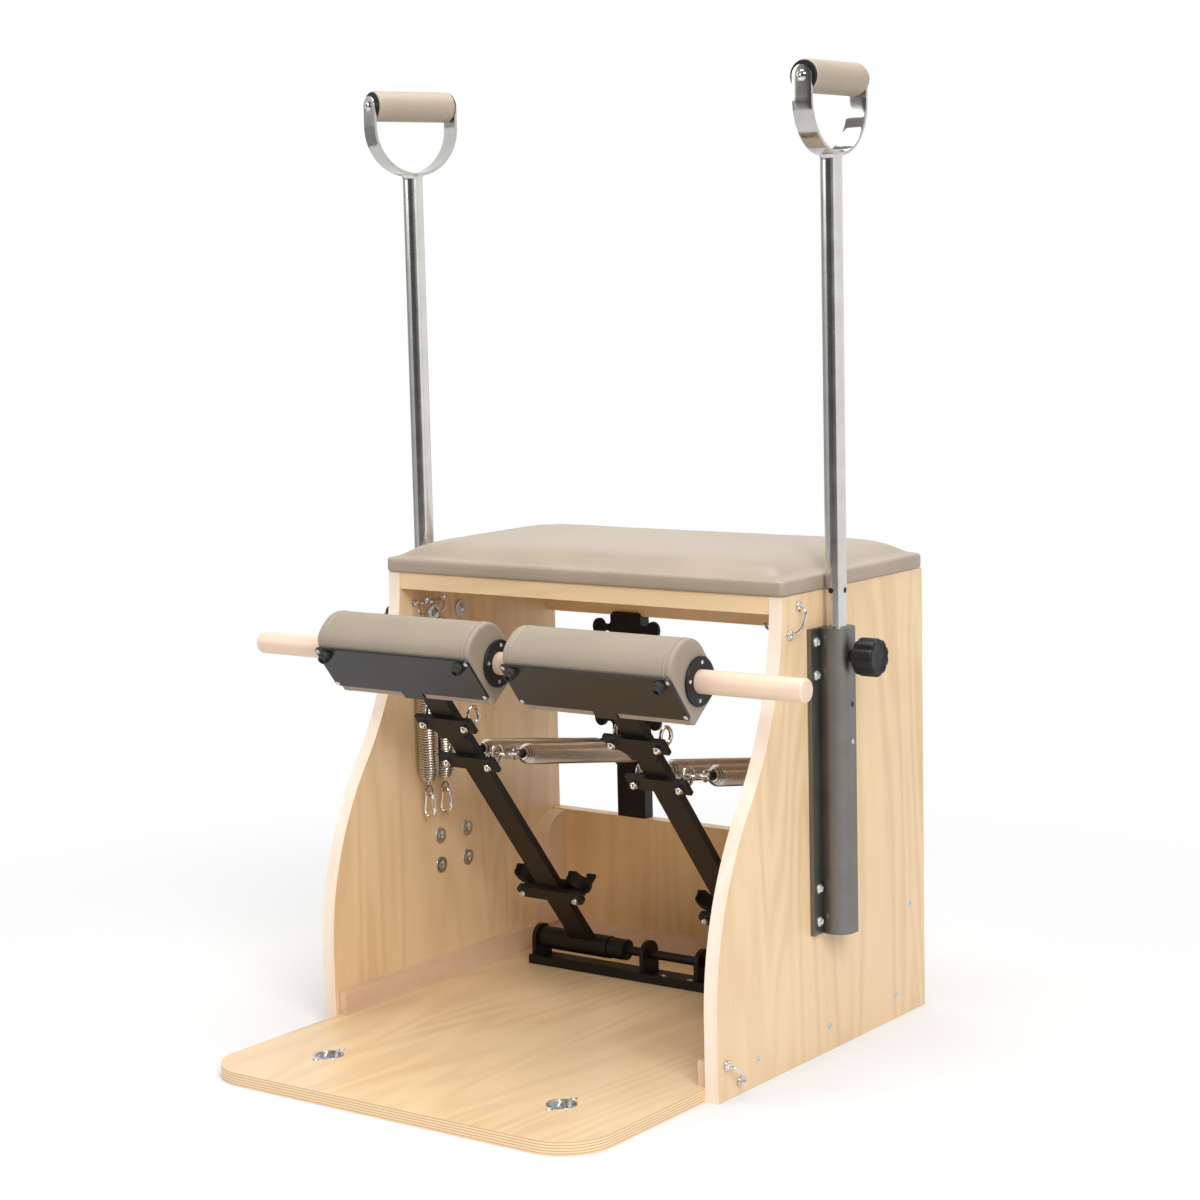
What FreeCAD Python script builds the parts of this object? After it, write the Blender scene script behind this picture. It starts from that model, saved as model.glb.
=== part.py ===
"""Pilates chair with a split spring-loaded pedal, a padded seat and two sliding handle poles.

Millimetres, +Z up, -Y towards the pedals. Left and right are as seen from the front: left is -X.
The origin is on the floor under the middle of the chair's outline.
"""
import FreeCAD, Part
import math
import os

import Sketcher

# Driving dimensions. Heights are from the floor and depths from the side panels' front foot;
# sizes named arm_... or pad_... are measured along the pedal arm from the pivot axle.
SIZES = {
    "frame_width": 600, "frame_depth": 480, "panel_thick": 18, "panel_height": 566,
    "panel_setback": 151, "curve_start": 96,
    "toe_reach": 245, "toe_corner": 62, "base_thick": 16,
    "back_top": 201, "rear_rail_tall": 86, "rail_tall": 21, "rail_deep": 22, "rail_back": 1,
    "cleat_wide": 13, "cleat_tall": 30, "cleat_back": 5,
    "corner_wide": 22, "corner_deep": 40, "corner_drop": 2,
    "seat_over": 3, "seat_rear_in": 2, "seat_band": 15, "seat_thick": 46, "seat_tuck": 2,
    "seat_crown": 128, "seat_corner": 10, "seat_board_thick": 12, "seat_board_in": 8, "seat_fit": 0.4,
    "post_wide": 46, "hook_plate_thick": 6, "hook_plate_wide": 50,
    "lobe_first": 296, "lobe_pitch": 41.7, "lobe_count": 5, "neck_tall": 9, "neck_long": 13,
    "head_tall": 24, "head_flat": 5, "notch_round": 5, "hook_plate_end": 22,
    "pivot_ahead": 110, "pivot_height": 48.6, "axle_radius": 6, "axle_end": 5,
    "ear_thick": 6, "ear_deep": 36, "ear_outer": 76, "ear_inner": 102, "channel_thick": 5,
    "channel_deep": 50, "channel_lip": 12, "channel_end": 4,
    "hub_radius": 15, "hub_outer": 66, "hub_inner": 41, "bush_radius": 9, "bush_long": 22,
    "bush_flange": 13.5, "flange_thick": 4, "collar_radius": 14, "collar_long": 22,
    "running_fit": 0.06, "side_play": 0.4,
    "arm_lean": 38.2, "arm_wide": 36, "arm_thick": 10, "arm_top": 524,
    "cross_thick": 6, "cross_tall": 22, "cross_wide": 88, "cross_upper": 444, "cross_lower": 373,
    "cross_scoop": 16, "eye_offset": 33, "eye_mean": 10.5, "eye_wire": 2.6, "eye_back": 9,
    "eye_shank": 3, "nut_across": 5.5, "nut_long": 5, "dome_long": 3,
    "hook_up": 113, "hook_plate_half": 43, "hook_outer": 18, "hook_inner": 15, "hook_rise": 12,
    "dowel_radius": 14, "dowel_long": 818, "dowel_up": 541.7, "dowel_behind": 13.8,
    "pad_side": 16.8, "pad_between": 50.4, "pad_front": 25.5, "pad_bottom": 507, "pad_top": 565,
    "pad_radius": 35.5, "pad_heel": 20, "disc_radius": 29, "disc_thick": 3,
    "plate_thick": 3, "plate_over": 1.5, "plate_bottom": 521, "plate_top": 587, "plate_corner": 5,
    "lug_wide": 32, "lug_tall": 14,
    "bumper_radius": 8, "bumper_tall": 12, "bumper_in": 14.5, "bumper_up": 578, "bumper_bore": 3.6,
    "bumper_bore_deep": 6,
    "pole_back": 244, "pole_out": 17, "pole_radius": 12.7, "pole_wall": 2, "pole_bottom": 230,
    "pole_top": 1073, "pole_hole": 3.5, "pole_hole_up": 566, "plug_long": 16, "plug_cap": 3,
    "bracket_bottom": 152, "bracket_top": 522, "bracket_wide": 80, "bracket_flange": 6,
    "bracket_radius": 22, "bracket_flat": 20.5, "bolt_apart": 56, "bolt_end": 16, "bolt_step": 40,
    "bolt_head": 6.5, "bolt_head_tall": 4, "washer_radius": 11, "washer_thick": 2,
    "knob_up": 488, "knob_radius": 23, "knob_long": 28, "knob_stem": 7, "knob_stem_long": 10,
    "knob_flutes": 10, "flute_radius": 4, "knob_dish": 17, "knob_dish_deep": 2, "screw_radius": 4,
    "screw_gap": 0.4,
    "strap_wide": 26, "strap_thick": 4, "strap_radius": 61, "strap_leg": 26, "strap_end": 12,
    "grip_radius": 19.5, "grip_bevel": 2.5, "grip_cap": 6, "grip_screw": 6.5, "grip_screw_tall": 3.5,
    "right_turn": 90, "left_turn": 72,
    "ring_wire": 2.2, "snap_front": 8, "snap_rear": 5, "snap_long": 20, "ring_gap": 0.6, "eye_play": 2.1,
    "coil_radius": 12, "coil_wire": 1.6, "coil_turns": 3, "wire_sides": 3, "coil_end": 5.5,
    "coil_rear": 20, "coil_front": 48, "rear_loop": 9.6, "rear_loop_out": 2.2, "front_loop": 6.6,
    "plug_radius": 6, "coil_plug_long": 8, "coil_plug_back": 22,
    "spare_out": 16, "spare_back": 178, "spare_apart": 33, "spare_top": 524, "spare_long": 280,
    "spare_turns": 2, "hanger_wire": 2, "hanger_long": 24, "hanger_tip": 7,
    "strap_hook_wire": 2, "strap_hook_out": 16, "strap_eye": 5, "strap_hook_span": 38,
    "upper_hook_turn": 57, "lower_hook_turn": -44, "upper_hook_back": 175.6, "upper_hook_up": 536,
    "lower_hook_back": 31.2, "lower_hook_up": 28.8,
    "wood_screw": 4.5, "wood_screw_tall": 1.6, "small_screw": 2.5, "plate_screw_in": 4.5,
    "floor_eye_out": 176, "floor_eye_ahead": 132, "cup_radius": 16, "cup_wall": 1, "cup_deep": 11,
    "floor_eye_mean": 7.5, "floor_eye_wire": 2, "floor_eye_above": 5, "floor_screw_apart": 46,
}

V = FreeCAD.Vector
DOC = FreeCAD.newDocument("PilatesChair")
SHEET = DOC.addObject("Spreadsheet::Sheet", "Sizes")
for row, (alias, number) in enumerate(SIZES.items(), 1):
    SHEET.set(f"A{row}", alias)
    SHEET.set(f"B{row}", str(number))
    SHEET.setAlias(f"B{row}", alias)
DOC.recompute()


class Size:
    """A number together with the spreadsheet text that drives it."""

    def __init__(self, value, text):
        self.value, self.text = float(value), text

    def __add__(self, other):
        other = as_size(other)
        return Size(self.value + other.value, f"({self.text} + {other.text})")

    def __sub__(self, other):
        other = as_size(other)
        return Size(self.value - other.value, f"({self.text} - {other.text})")

    def __mul__(self, other):
        other = as_size(other)
        return Size(self.value * other.value, f"{self.text} * {other.text}")

    def __truediv__(self, other):
        other = as_size(other)
        return Size(self.value / other.value, f"{self.text} / ({other.text})")

    def __rsub__(self, other):
        return as_size(other) - self

    def __neg__(self):
        return Size(-self.value, f"(-1 * {self.text})")

    __radd__, __rmul__ = __add__, __mul__


def as_size(number):
    return number if isinstance(number, Size) else Size(number, f"({number})")


class Sheet:
    """Hands out each cell of the spreadsheet as a Size."""

    def __getattr__(self, alias):
        return Size(SHEET.get(alias), f"Sizes.{alias}")


S = Sheet()
ZERO = as_size(0)
NODES = []

# Planes that several pieces share.
HALF = S.frame_width / 2
INNER = HALF - S.panel_thick
FRONT = (S.toe_reach - S.frame_depth) / 2
REAR = FRONT + S.frame_depth
TOE = FRONT - S.toe_reach
REAR_IN = REAR - S.panel_thick
TOP = S.panel_height
PIVOT_Y = REAR_IN - S.pivot_ahead
POLE_Y = FRONT + S.pole_back
POLE_X = HALF + S.pole_out
EYE_Y = FRONT - S.floor_eye_ahead
LOBE_Y = REAR_IN - S.hook_plate_thick / 2
PAD_LONG = INNER - S.pad_side - S.pad_between / 2
PITCH = PAD_LONG + S.pad_between
PLATE_LONG = PAD_LONG + 2 * S.plate_over
BUMPERS = PAD_LONG - 2 * S.bumper_in


def bind(thing, **sizes):
    for name, size in sizes.items():
        thing.setExpression(name, as_size(size).text)
    return thing


def place(thing, x=ZERO, y=ZERO, z=ZERO, turn=None, about=(0, 0, 1)):
    """Puts a thing at a driven point, turned by a driven angle in degrees about an axis."""
    if turn is not None:
        thing.Placement = FreeCAD.Placement(V(), FreeCAD.Rotation(V(*about), as_size(turn).value))
        thing.setExpression("Placement.Rotation.Angle", as_size(turn).text)
    for axis, size in zip("xyz", (x, y, z)):
        thing.setExpression(f"Placement.Base.{axis}", as_size(size).text)
    return thing


def node(thing, name):
    """Marks a thing as one finished piece of the chair."""
    thing.Label = name
    NODES.append(thing)
    return thing


def box(x, y, z, wide, deep, tall):
    """A block whose low corner is at (x, y, z)."""
    block = bind(DOC.addObject("Part::Box", "Block"), Length=wide, Width=deep, Height=tall)
    return place(block, x, y, z)


ALONG = {"z": (None, (0, 0, 1)), "x": (90, (0, 1, 0)), "y": (-90, (1, 0, 0)), "-y": (90, (1, 0, 0)),
         "-x": (-90, (0, 1, 0))}


def rod(radius, long, x=ZERO, y=ZERO, z=ZERO, along="z"):
    """A round bar that starts at (x, y, z) and runs along an axis."""
    bar = bind(DOC.addObject("Part::Cylinder", "Rod"), Radius=radius, Height=long)
    return place(bar, x, y, z, *ALONG[along])


def prism(sides, radius, long, x=ZERO, y=ZERO, z=ZERO, along="z"):
    """A many-sided bar, such as a nut or a small screw head."""
    bar = bind(DOC.addObject("Part::Prism", "Prism"), Circumradius=radius, Height=long)
    bar.Polygon = sides
    return place(bar, x, y, z, *ALONG[along])


def inside(sides, radius):
    """Circumradius of a many-sided hole that a round bar of the radius just fits in."""
    return radius * (1 / math.cos(math.pi / sides))


def eye_ring(mean, wire, x=ZERO, y=ZERO, z=ZERO):
    """A flat-sided ring about the X axis through (x, y, z)."""
    start = x - wire
    return cut(prism(10, mean + wire, 2 * wire, start, y, z, "x"),
               prism(10, mean - wire, 2 * wire + 2, start - 1, y, z, "x"))


def fuse(*things):
    joined = DOC.addObject("Part::MultiFuse", "Fuse")
    joined.Shapes = list(things)
    return joined


def cut(base, *tools):
    result = DOC.addObject("Part::Cut", "Cut")
    result.Base = base
    result.Tool = tools[0] if len(tools) == 1 else fuse(*tools)
    return result


def group(*things):
    """Separate solids that are handled as one piece list entry."""
    bundle = DOC.addObject("Part::Compound", "Group")
    bundle.Links = list(things)
    return bundle


def feature(shape, name="Form"):
    """A form that neither a primitive nor a sketch gives; its sizes are read from the sheet."""
    thing = DOC.addObject("Part::Feature", name)
    thing.Shape = shape
    return thing


def new_body(name):
    return DOC.addObject("PartDesign::Body", name)


def sketch_in(body, role, offset=None):
    """An empty sketch on one of the body's own origin planes, lifted off it by a driven offset."""
    sketch = body.newObject("Sketcher::SketchObject", "Outline")
    plane = next(item for item in body.Origin.OriginFeatures if item.Role == role)
    sketch.AttachmentSupport = (plane, [""])
    sketch.MapMode = "FlatFace"
    if offset is not None:
        sketch.setExpression("AttachmentOffset.Base.z", as_size(offset).text)
    return sketch


def pinned(geometry, end, x, y):
    """Rules that hold a point of a sketch at driven distances from the sketch's origin."""
    return [(Sketcher.Constraint(kind, -1, 1, geometry, end, as_size(size).value), size)
            for kind, size in (("DistanceX", x), ("DistanceY", y))]


def constrain(sketch, rules):
    """Adds rules of (constraint, driving size or None) to a sketch in one go."""
    numbers = sketch.addConstraint([rule for rule, size in rules])
    for number, (rule, size) in zip(numbers, rules):
        if size is not None:
            sketch.setExpression(f"Constraints[{number}]", as_size(size).text)


def outline(sketch, corners):
    """Draws a closed outline, with the solid to the left of the way round.

    A corner is (x, y), or (x, y, radius, side) where an arc shorter than a half circle runs from
    there to the next corner: side -1 bulges away from the solid and side 1 into it.
    """
    first, count = sketch.GeometryCount, len(corners)
    ends, lines = [], []
    for index, corner in enumerate(corners):
        here = V(as_size(corner[0]).value, as_size(corner[1]).value)
        after = corners[(index + 1) % count]
        there = V(as_size(after[0]).value, as_size(after[1]).value)
        if len(corner) == 2:
            lines.append(Part.LineSegment(here, there))
            ends.append((1, 2))
            continue
        radius, side = as_size(corner[2]), corner[3]
        way = there - here
        left = V(-way.y, way.x).normalize()
        inset = math.sqrt(max(radius.value ** 2 - (way.Length / 2) ** 2, 0))
        centre = (here + there) / 2 - left * (side * inset)
        start, stop = (there, here) if side > 0 else (here, there)
        angles = [math.atan2(point.y - centre.y, point.x - centre.x) for point in (start, stop)]
        if angles[1] < angles[0]:
            angles[1] += 2 * math.pi
        lines.append(Part.ArcOfCircle(Part.Circle(centre, V(0, 0, 1), radius.value), *angles))
        ends.append((2, 1) if side > 0 else (1, 2))
    sketch.addGeometry(lines)
    rules = []
    for index, corner in enumerate(corners):
        before = (index - 1) % count
        rules.append((Sketcher.Constraint("Coincident", first + before, ends[before][1],
                                          first + index, ends[index][0]), None))
        rules += pinned(first + index, ends[index][0], corner[0], corner[1])
        if len(corner) == 4:
            rules.append((Sketcher.Constraint("Radius", first + index, as_size(corner[2]).value),
                          corner[2]))
    constrain(sketch, rules)


def circle(sketch, x, y, radius):
    centre = V(as_size(x).value, as_size(y).value)
    index = sketch.addGeometry(Part.Circle(centre, V(0, 0, 1), as_size(radius).value))
    constrain(sketch, pinned(index, 3, x, y) + [
        (Sketcher.Constraint("Radius", index, as_size(radius).value), radius)])


def round_corners(wide, tall, radius, x=ZERO, y=ZERO):
    """Corners of a rounded rectangle about (x, y)."""
    right, left, top, low = x + wide / 2, x - wide / 2, y + tall / 2, y - tall / 2
    return [(right, low + radius), (right, top - radius, radius, -1),
            (right - radius, top), (left + radius, top, radius, -1),
            (left, top - radius), (left, low + radius, radius, -1),
            (left + radius, low), (right - radius, low, radius, -1)]


def pad(body, sketch, long, middle=False, reverse=False):
    thick = body.newObject("PartDesign::Pad", "Thickness")
    thick.Profile = sketch
    thick.SideType = "Symmetric" if middle else "One side"
    thick.Reversed = reverse
    bind(thick, Length=long)
    body.Tip = thick
    return thick


def pocket(body, sketch, deep, middle=False, reverse=False):
    hole = body.newObject("PartDesign::Pocket", "Recess")
    hole.Profile = sketch
    hole.SideType = "Symmetric" if middle else "One side"
    hole.Reversed = reverse
    bind(hole, Length=deep)
    body.Tip = hole
    return hole


def soften(body, base, chosen, radius):
    """Rounds the edges of a feature that a test picks."""
    DOC.recompute()
    names = [f"Edge{number}" for number, edge in enumerate(base.Shape.Edges, 1) if chosen(edge)]
    round_over = body.newObject("PartDesign::Fillet", "Rounding")
    round_over.Base = (base, names)
    bind(round_over, Radius=radius)
    body.Tip = round_over
    return round_over


def plate(name, role, corners, thick, holes=(), **how):
    """A flat piece: one outline with round holes, given a thickness."""
    body = new_body(name)
    sketch = sketch_in(body, role)
    outline(sketch, corners)
    for x, y, radius in holes:
        circle(sketch, x, y, radius)
    pad(body, sketch, thick, **how)
    return body


def centre_of(edge):
    return edge.valueAt((edge.FirstParameter + edge.LastParameter) / 2)


def side_name(side):
    return "left" if side < 0 else "right"


# The timber frame


def base_board():
    body = new_body("BaseBoard")
    sketch = sketch_in(body, "XY_Plane")
    corner = S.toe_corner
    outline(sketch, [(INNER, REAR), (-INNER, REAR), (-INNER, TOE + corner, corner, -1),
                     (corner - INNER, TOE), (INNER - corner, TOE, corner, -1), (INNER, TOE + corner)])
    pad(body, sketch, S.base_thick)
    cups = sketch_in(body, "XY_Plane", S.base_thick)
    for side in (-1, 1):
        circle(cups, side * S.floor_eye_out, EYE_Y, S.cup_radius)
    pocket(body, cups, S.cup_deep)
    node(body, "base_board")


def side_panel(side):
    """A panel with an S-shaped front edge of two equal arcs, upright at both ends."""
    lean, rise = S.panel_setback / 2, (TOP - S.curve_start) / 2
    radius = (lean * lean + rise * rise) / (2 * lean)
    body = new_body("SidePanel")
    sketch = sketch_in(body, "YZ_Plane")
    outline(sketch, [(FRONT, ZERO), (REAR, ZERO), (REAR, TOP),
                     (FRONT + S.panel_setback, TOP, radius, 1),
                     (FRONT + lean, S.curve_start + rise, radius, -1), (FRONT, S.curve_start)])
    pad(body, sketch, S.panel_thick, middle=True)
    place(body, side * (HALF - S.panel_thick / 2))
    node(body, f"side_panel_{side_name(side)}")


def boards():
    wide = 2 * INNER
    foot = S.base_thick
    node(box(-INNER, REAR_IN, foot, wide, S.panel_thick, S.back_top - foot), "back_panel")
    node(box(-INNER, FRONT + S.panel_setback + S.rail_back, TOP - S.rail_tall, wide, S.rail_deep,
             S.rail_tall), "front_rail")
    node(box(-INNER, REAR_IN, TOP - S.rear_rail_tall, wide, S.panel_thick, S.rear_rail_tall),
         "rear_rail")
    start = FRONT + S.cleat_back
    sides = [box(x, start, foot, S.cleat_wide, REAR_IN - start, S.cleat_tall)
             for x in (-INNER, INNER - S.cleat_wide)]
    back = box(S.cleat_wide - INNER, REAR_IN - S.cleat_wide, foot, wide - 2 * S.cleat_wide,
               S.cleat_wide, S.cleat_tall)
    node(group(*sides, back), "floor_cleats")
    node(group(corner_cleat(-1), corner_cleat(1)), "corner_cleats")


def corner_cleat(side):
    """An upright block in a rear corner, rounded off at its front top."""
    low, high = S.base_thick + S.cleat_tall, S.back_top - S.corner_drop
    front = REAR_IN - S.corner_deep
    block = plate("CornerCleat", "YZ_Plane", [
        (front, low), (REAR_IN, low), (REAR_IN, high, S.corner_deep, -1), (front, high - S.corner_deep)],
        S.corner_wide, middle=True)
    return place(block, side * (INNER - S.corner_wide / 2))


def seat():
    """The seat board, and the cushion that is wrapped over it."""
    deep = S.frame_depth - S.panel_setback + S.seat_over - S.seat_rear_in
    middle = FRONT + S.panel_setback - S.seat_over + deep / 2
    wide = S.frame_width + 2 * S.seat_over
    inset = S.seat_board_in
    node(box(inset - wide / 2, middle - deep / 2 + inset, TOP, wide - 2 * inset, deep - 2 * inset,
             S.seat_board_thick), "seat_board")
    # Heights up the cushion as parts of its thickness, and how far its sides are drawn in there.
    band, full = S.seat_band, S.seat_thick
    levels = [(ZERO, S.seat_tuck), (band * 0.35, ZERO), (band, S.seat_crown * 0.005),
              (band + (full - band) * 0.55, S.seat_crown * 0.22), (full, S.seat_crown)]
    body = new_body("SeatCushion")
    sections = []
    for height, drawn in levels:
        sketch = sketch_in(body, "XY_Plane", TOP + height)
        outline(sketch, round_corners(wide - 2 * drawn, deep - 2 * drawn, S.seat_corner, ZERO, middle))
        sections.append(sketch)
    loft = body.newObject("PartDesign::AdditiveLoft", "Crown")
    loft.Profile, loft.Sections, loft.Ruled = sections[0], sections[1:], True
    body.Tip = loft
    nest = sketch_in(body, "XY_Plane", TOP)
    gap = S.seat_fit
    low = [(x * (wide / 2 - inset + gap), middle + y * (deep / 2 - inset + gap))
           for x, y in ((-1, -1), (1, -1), (1, 1), (-1, 1))]
    outline(nest, low)
    pocket(body, nest, S.seat_board_thick + gap, reverse=True)
    node(body, "seat_cushion")


# The spring posts at the back


def hook_plate(side):
    """A flat steel strip with mushroom-shaped lobes down both edges for the spring rings."""
    half, neck, notch = S.hook_plate_wide / 2, S.neck_tall / 2, S.notch_round
    head, heel = S.head_tall / 2, half + S.neck_long
    level, nose = S.lobe_first, heel + S.head_flat
    tip = nose + head
    edge = [(half, level - neck - notch), (half + notch, level - neck), (heel, level - neck),
            (heel, level - head), (nose, level - head), (tip, level - neck), (tip, level + neck),
            (nose, level + head), (heel, level + head), (heel, level + neck), (half + notch, level + neck),
            (half, level + neck + notch)]
    mirrored = [(-x, y) for x, y in edge]
    rise = S.lobe_pitch * (S.lobe_count - 1)
    tall = rise + 2 * S.hook_plate_end
    body = plate("HookPlate", "XZ_Plane",
                 [(half, level - S.hook_plate_end), (half, level - S.hook_plate_end + tall),
                  (-half, level - S.hook_plate_end + tall), (-half, level - S.hook_plate_end)],
                 S.hook_plate_thick, middle=True)
    lobes = sketch_in(body, "XZ_Plane")
    outline(lobes, edge + mirrored[::-1])
    pair = pad(body, lobes, S.hook_plate_thick, middle=True)
    rows = body.newObject("PartDesign::LinearPattern", "Rows")
    rows.Originals, rows.Direction = [pair], (lobes, ["V_Axis"])
    bind(rows, Length=rise, Occurrences=S.lobe_count)
    body.Tip = rows
    return place(body, side * PITCH / 2, LOBE_Y)


def posts():
    tall = TOP - S.rear_rail_tall - S.back_top
    node(group(*[box(side * PITCH / 2 - S.post_wide / 2, REAR_IN, S.back_top, S.post_wide,
                     S.panel_thick, tall) for side in (-1, 1)]), "spring_posts")
    node(group(hook_plate(-1), hook_plate(1)), "hook_plates")


# The pivot under the pedals


def pivot():
    middle, half = PITCH / 2, S.ear_deep / 2
    reach = middle + S.ear_outer
    floor = S.base_thick
    long = 2 * (reach + S.channel_end)
    front = PIVOT_Y - S.channel_deep / 2
    pieces = [box(-long / 2, front, floor, long, S.channel_deep, S.channel_thick),
              box(-long / 2, front, floor, long, S.channel_thick, S.channel_lip)]
    for x in (-reach, -(middle - S.ear_inner), middle - S.ear_inner, reach):
        start = x - S.ear_thick / 2
        pieces += [box(start, PIVOT_Y - half, floor, S.ear_thick, S.ear_deep, S.pivot_height - floor),
                   rod(half, S.ear_thick, start, PIVOT_Y, S.pivot_height, "x")]
    axle_long = 2 * (reach + S.ear_thick / 2 + S.axle_end)
    hole = inside(12, S.axle_radius + S.running_fit)

    def bore():
        return prism(12, hole, axle_long, -axle_long / 2, PIVOT_Y, S.pivot_height, "x")

    node(cut(fuse(*pieces), bore()), "pivot_channel")
    node(rod(S.axle_radius, axle_long, -axle_long / 2, PIVOT_Y, S.pivot_height, "x"), "pivot_axle")
    bushes, collars = [], []
    for side in (-1, 1):
        outer, inner = side * (middle + S.hub_outer), side * (middle - S.hub_inner)
        bushes += [bush(outer, side), bush(inner, -side)]
        start = inner - side * (S.side_play + S.flange_thick + S.side_play)
        inward = "-x" if side > 0 else "x"
        collars.append(cut(
            prism(16, S.collar_radius, S.collar_long, start, PIVOT_Y, S.pivot_height, inward), bore()))
    node(group(*bushes), "pivot_bushes")
    node(group(*collars), "axle_collars")


def bush(hub_end, outward):
    """A flanged bush: its sleeve goes into the hub and its flange stands off the hub's end."""
    flange_at = hub_end + outward * S.side_play
    start = flange_at + outward * S.flange_thick
    back, out = ("-x", "x") if outward > 0 else ("x", "-x")
    whole = fuse(prism(12, S.bush_flange, S.flange_thick, flange_at, PIVOT_Y, S.pivot_height, out),
                 prism(12, S.bush_radius, S.flange_thick + S.bush_long, start, PIVOT_Y, S.pivot_height, back))
    reach = 2 * (S.flange_thick + S.bush_long)
    hole = inside(12, S.axle_radius + S.running_fit)
    return cut(whole, prism(12, hole, reach, hub_end - reach / 2, PIVOT_Y, S.pivot_height, "x"))


# The two pedals, drawn with the arm upright from the pivot axle and then leaned back


def on_pedal(thing, side):
    return place(thing, side * PITCH / 2, PIVOT_Y, S.pivot_height, S.arm_lean, (1, 0, 0))


def pedal_arm(side):
    """The flat arm with its welded hub and the two cross plates that carry the eye bolts."""
    half, thick = S.arm_wide / 2, S.arm_thick
    hub_low = -S.hub_outer if side < 0 else -S.hub_inner
    hub_long = S.hub_outer + S.hub_inner
    bar = box(-half, -thick / 2, ZERO, S.arm_wide, thick, S.arm_top)
    hub = rod(S.hub_radius, hub_long, hub_low, ZERO, ZERO, "x")
    bore = rod(S.bush_radius + S.running_fit, hub_long + 2, hub_low - 1, ZERO, ZERO, "x")
    whole = fuse(bar, hub, cross_plate(S.cross_upper, True), cross_plate(S.cross_lower, False))
    node(on_pedal(cut(whole, bore), side), f"pedal_arm_{side_name(side)}")


def cross_plate(level, scooped):
    """A plate across the arm's front; the upper one is scooped out below its ears."""
    half, tall, scoop = S.cross_wide / 2, S.cross_tall / 2, S.cross_scoop
    top, low = level + tall, level - tall
    right = [(half, low), (half, top)]
    left = [(-half, top), (-half, low)]
    if scooped:
        root = S.arm_wide / 2
        right = [(root, low - scoop, scoop, 1), (root + scoop, low)] + right
        left = left + [(-root - scoop, low, scoop, 1), (-root, low - scoop)]
    body = plate("CrossPlate", "XZ_Plane", right + left, S.cross_thick, middle=True)
    place(body, ZERO, -(S.arm_thick + S.cross_thick) / 2)
    hole = inside(8, S.eye_shank + S.running_fit)
    drills = [prism(8, hole, S.cross_thick + 2, x, -S.arm_thick / 2 + 1, level, "-y")
              for x in (-S.eye_offset, S.eye_offset)]
    return cut(body, *drills)


def eye_bolts(side):
    """Four eye bolts: a ring behind the cross plate, a shank through it and a domed nut in front."""
    face = -(S.arm_thick / 2 + S.cross_thick)
    bolts = []
    for level in (S.cross_upper, S.cross_lower):
        for x in (-S.eye_offset, S.eye_offset):
            reach = S.eye_back - S.eye_mean - face + S.nut_long
            bolts.append(fuse(
                eye_ring(S.eye_mean, S.eye_wire, x, S.eye_back, level),
                prism(6, S.eye_shank, reach, x, S.eye_back - S.eye_mean, level, "-y"),
                prism(6, S.nut_across, S.nut_long, x, face, level, "-y"),
                prism(6, S.nut_across * 0.7, S.dome_long, x, face - S.nut_long, level, "-y")))
    node(on_pedal(group(*bolts), side), f"eye_bolts_{side_name(side)}")


def hook_bracket(side):
    """Two plates clamped on the arm near its foot; the rear one ends in a pointed cradle each side."""
    half, tall, thick = S.hook_plate_half, S.cross_tall, S.cross_thick
    low, rear = S.hook_up - tall / 2, S.arm_thick / 2
    cradle = S.hook_up + S.hook_rise
    solids = [box(-half, rear, low, 2 * half, thick, tall),
              box(-half, -rear - thick, low, 2 * half, thick, tall)]
    tools = []
    for x in (-half, half):
        solids += [prism(18, S.hook_outer, thick, x, rear, cradle, "y"),
                   prism(12, tall / 2, thick, x, -rear - thick, S.hook_up, "y")]
        tools.append(prism(18, S.hook_inner, thick + 2, x, rear - 1, cradle + S.hook_rise / 2, "y"))
    whole = cut(fuse(*solids), *tools)
    pins = [prism(8, S.eye_shank, S.arm_thick + 3 * thick, x, -rear - 2 * thick, S.hook_up, "y")
            for x in (-half, half)]
    node(on_pedal(fuse(whole, *pins), side), f"hook_bracket_{side_name(side)}")


def pedal_pad(side):
    """The padded step: flat in front and below, half round above, with a bore for the dowel."""
    front, radius = -S.pad_front, S.pad_radius
    back = front + 2 * radius
    low, top, heel = S.pad_bottom, S.pad_top, S.pad_heel
    body = new_body("PedalPad")
    sketch = sketch_in(body, "YZ_Plane")
    outline(sketch, [(front, low), (back - heel, low, heel, -1), (back, low + heel), (back, top, radius, -1),
                     (front + radius, top + radius, radius, -1), (front, top)])
    circle(sketch, S.dowel_behind, S.dowel_up, S.dowel_radius + 0.5)
    pad(body, sketch, PAD_LONG, middle=True)
    slot = sketch_in(body, "XY_Plane", low)
    half, gap = S.arm_wide / 2 + S.seat_fit, S.seat_fit
    outline(slot, [(-half, front - 1), (half, front - 1), (half, S.arm_thick / 2 + gap),
                   (-half, S.arm_thick / 2 + gap)])
    pocket(body, slot, S.arm_top - low + gap, reverse=True)
    node(on_pedal(body, side), f"pedal_pad_{side_name(side)}")


def pedal_plate(side):
    """The steel sole plate on the step's front, with the lug that is welded to the arm."""
    middle = (S.plate_top + S.plate_bottom) / 2
    tall = S.plate_top - S.plate_bottom
    sole = plate("SolePlate", "XZ_Plane", round_corners(PLATE_LONG, tall, S.plate_corner, ZERO, middle),
                 S.plate_thick, middle=True)
    place(sole, ZERO, -S.pad_front - S.plate_thick / 2)
    lug_top = S.arm_top
    lug = box(-S.lug_wide / 2, -S.pad_front - S.plate_thick, lug_top - S.lug_tall, S.lug_wide,
              S.pad_front + S.plate_thick - S.arm_thick / 2, S.lug_tall)
    node(on_pedal(fuse(sole, lug), side), f"pedal_plate_{side_name(side)}")


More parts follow.
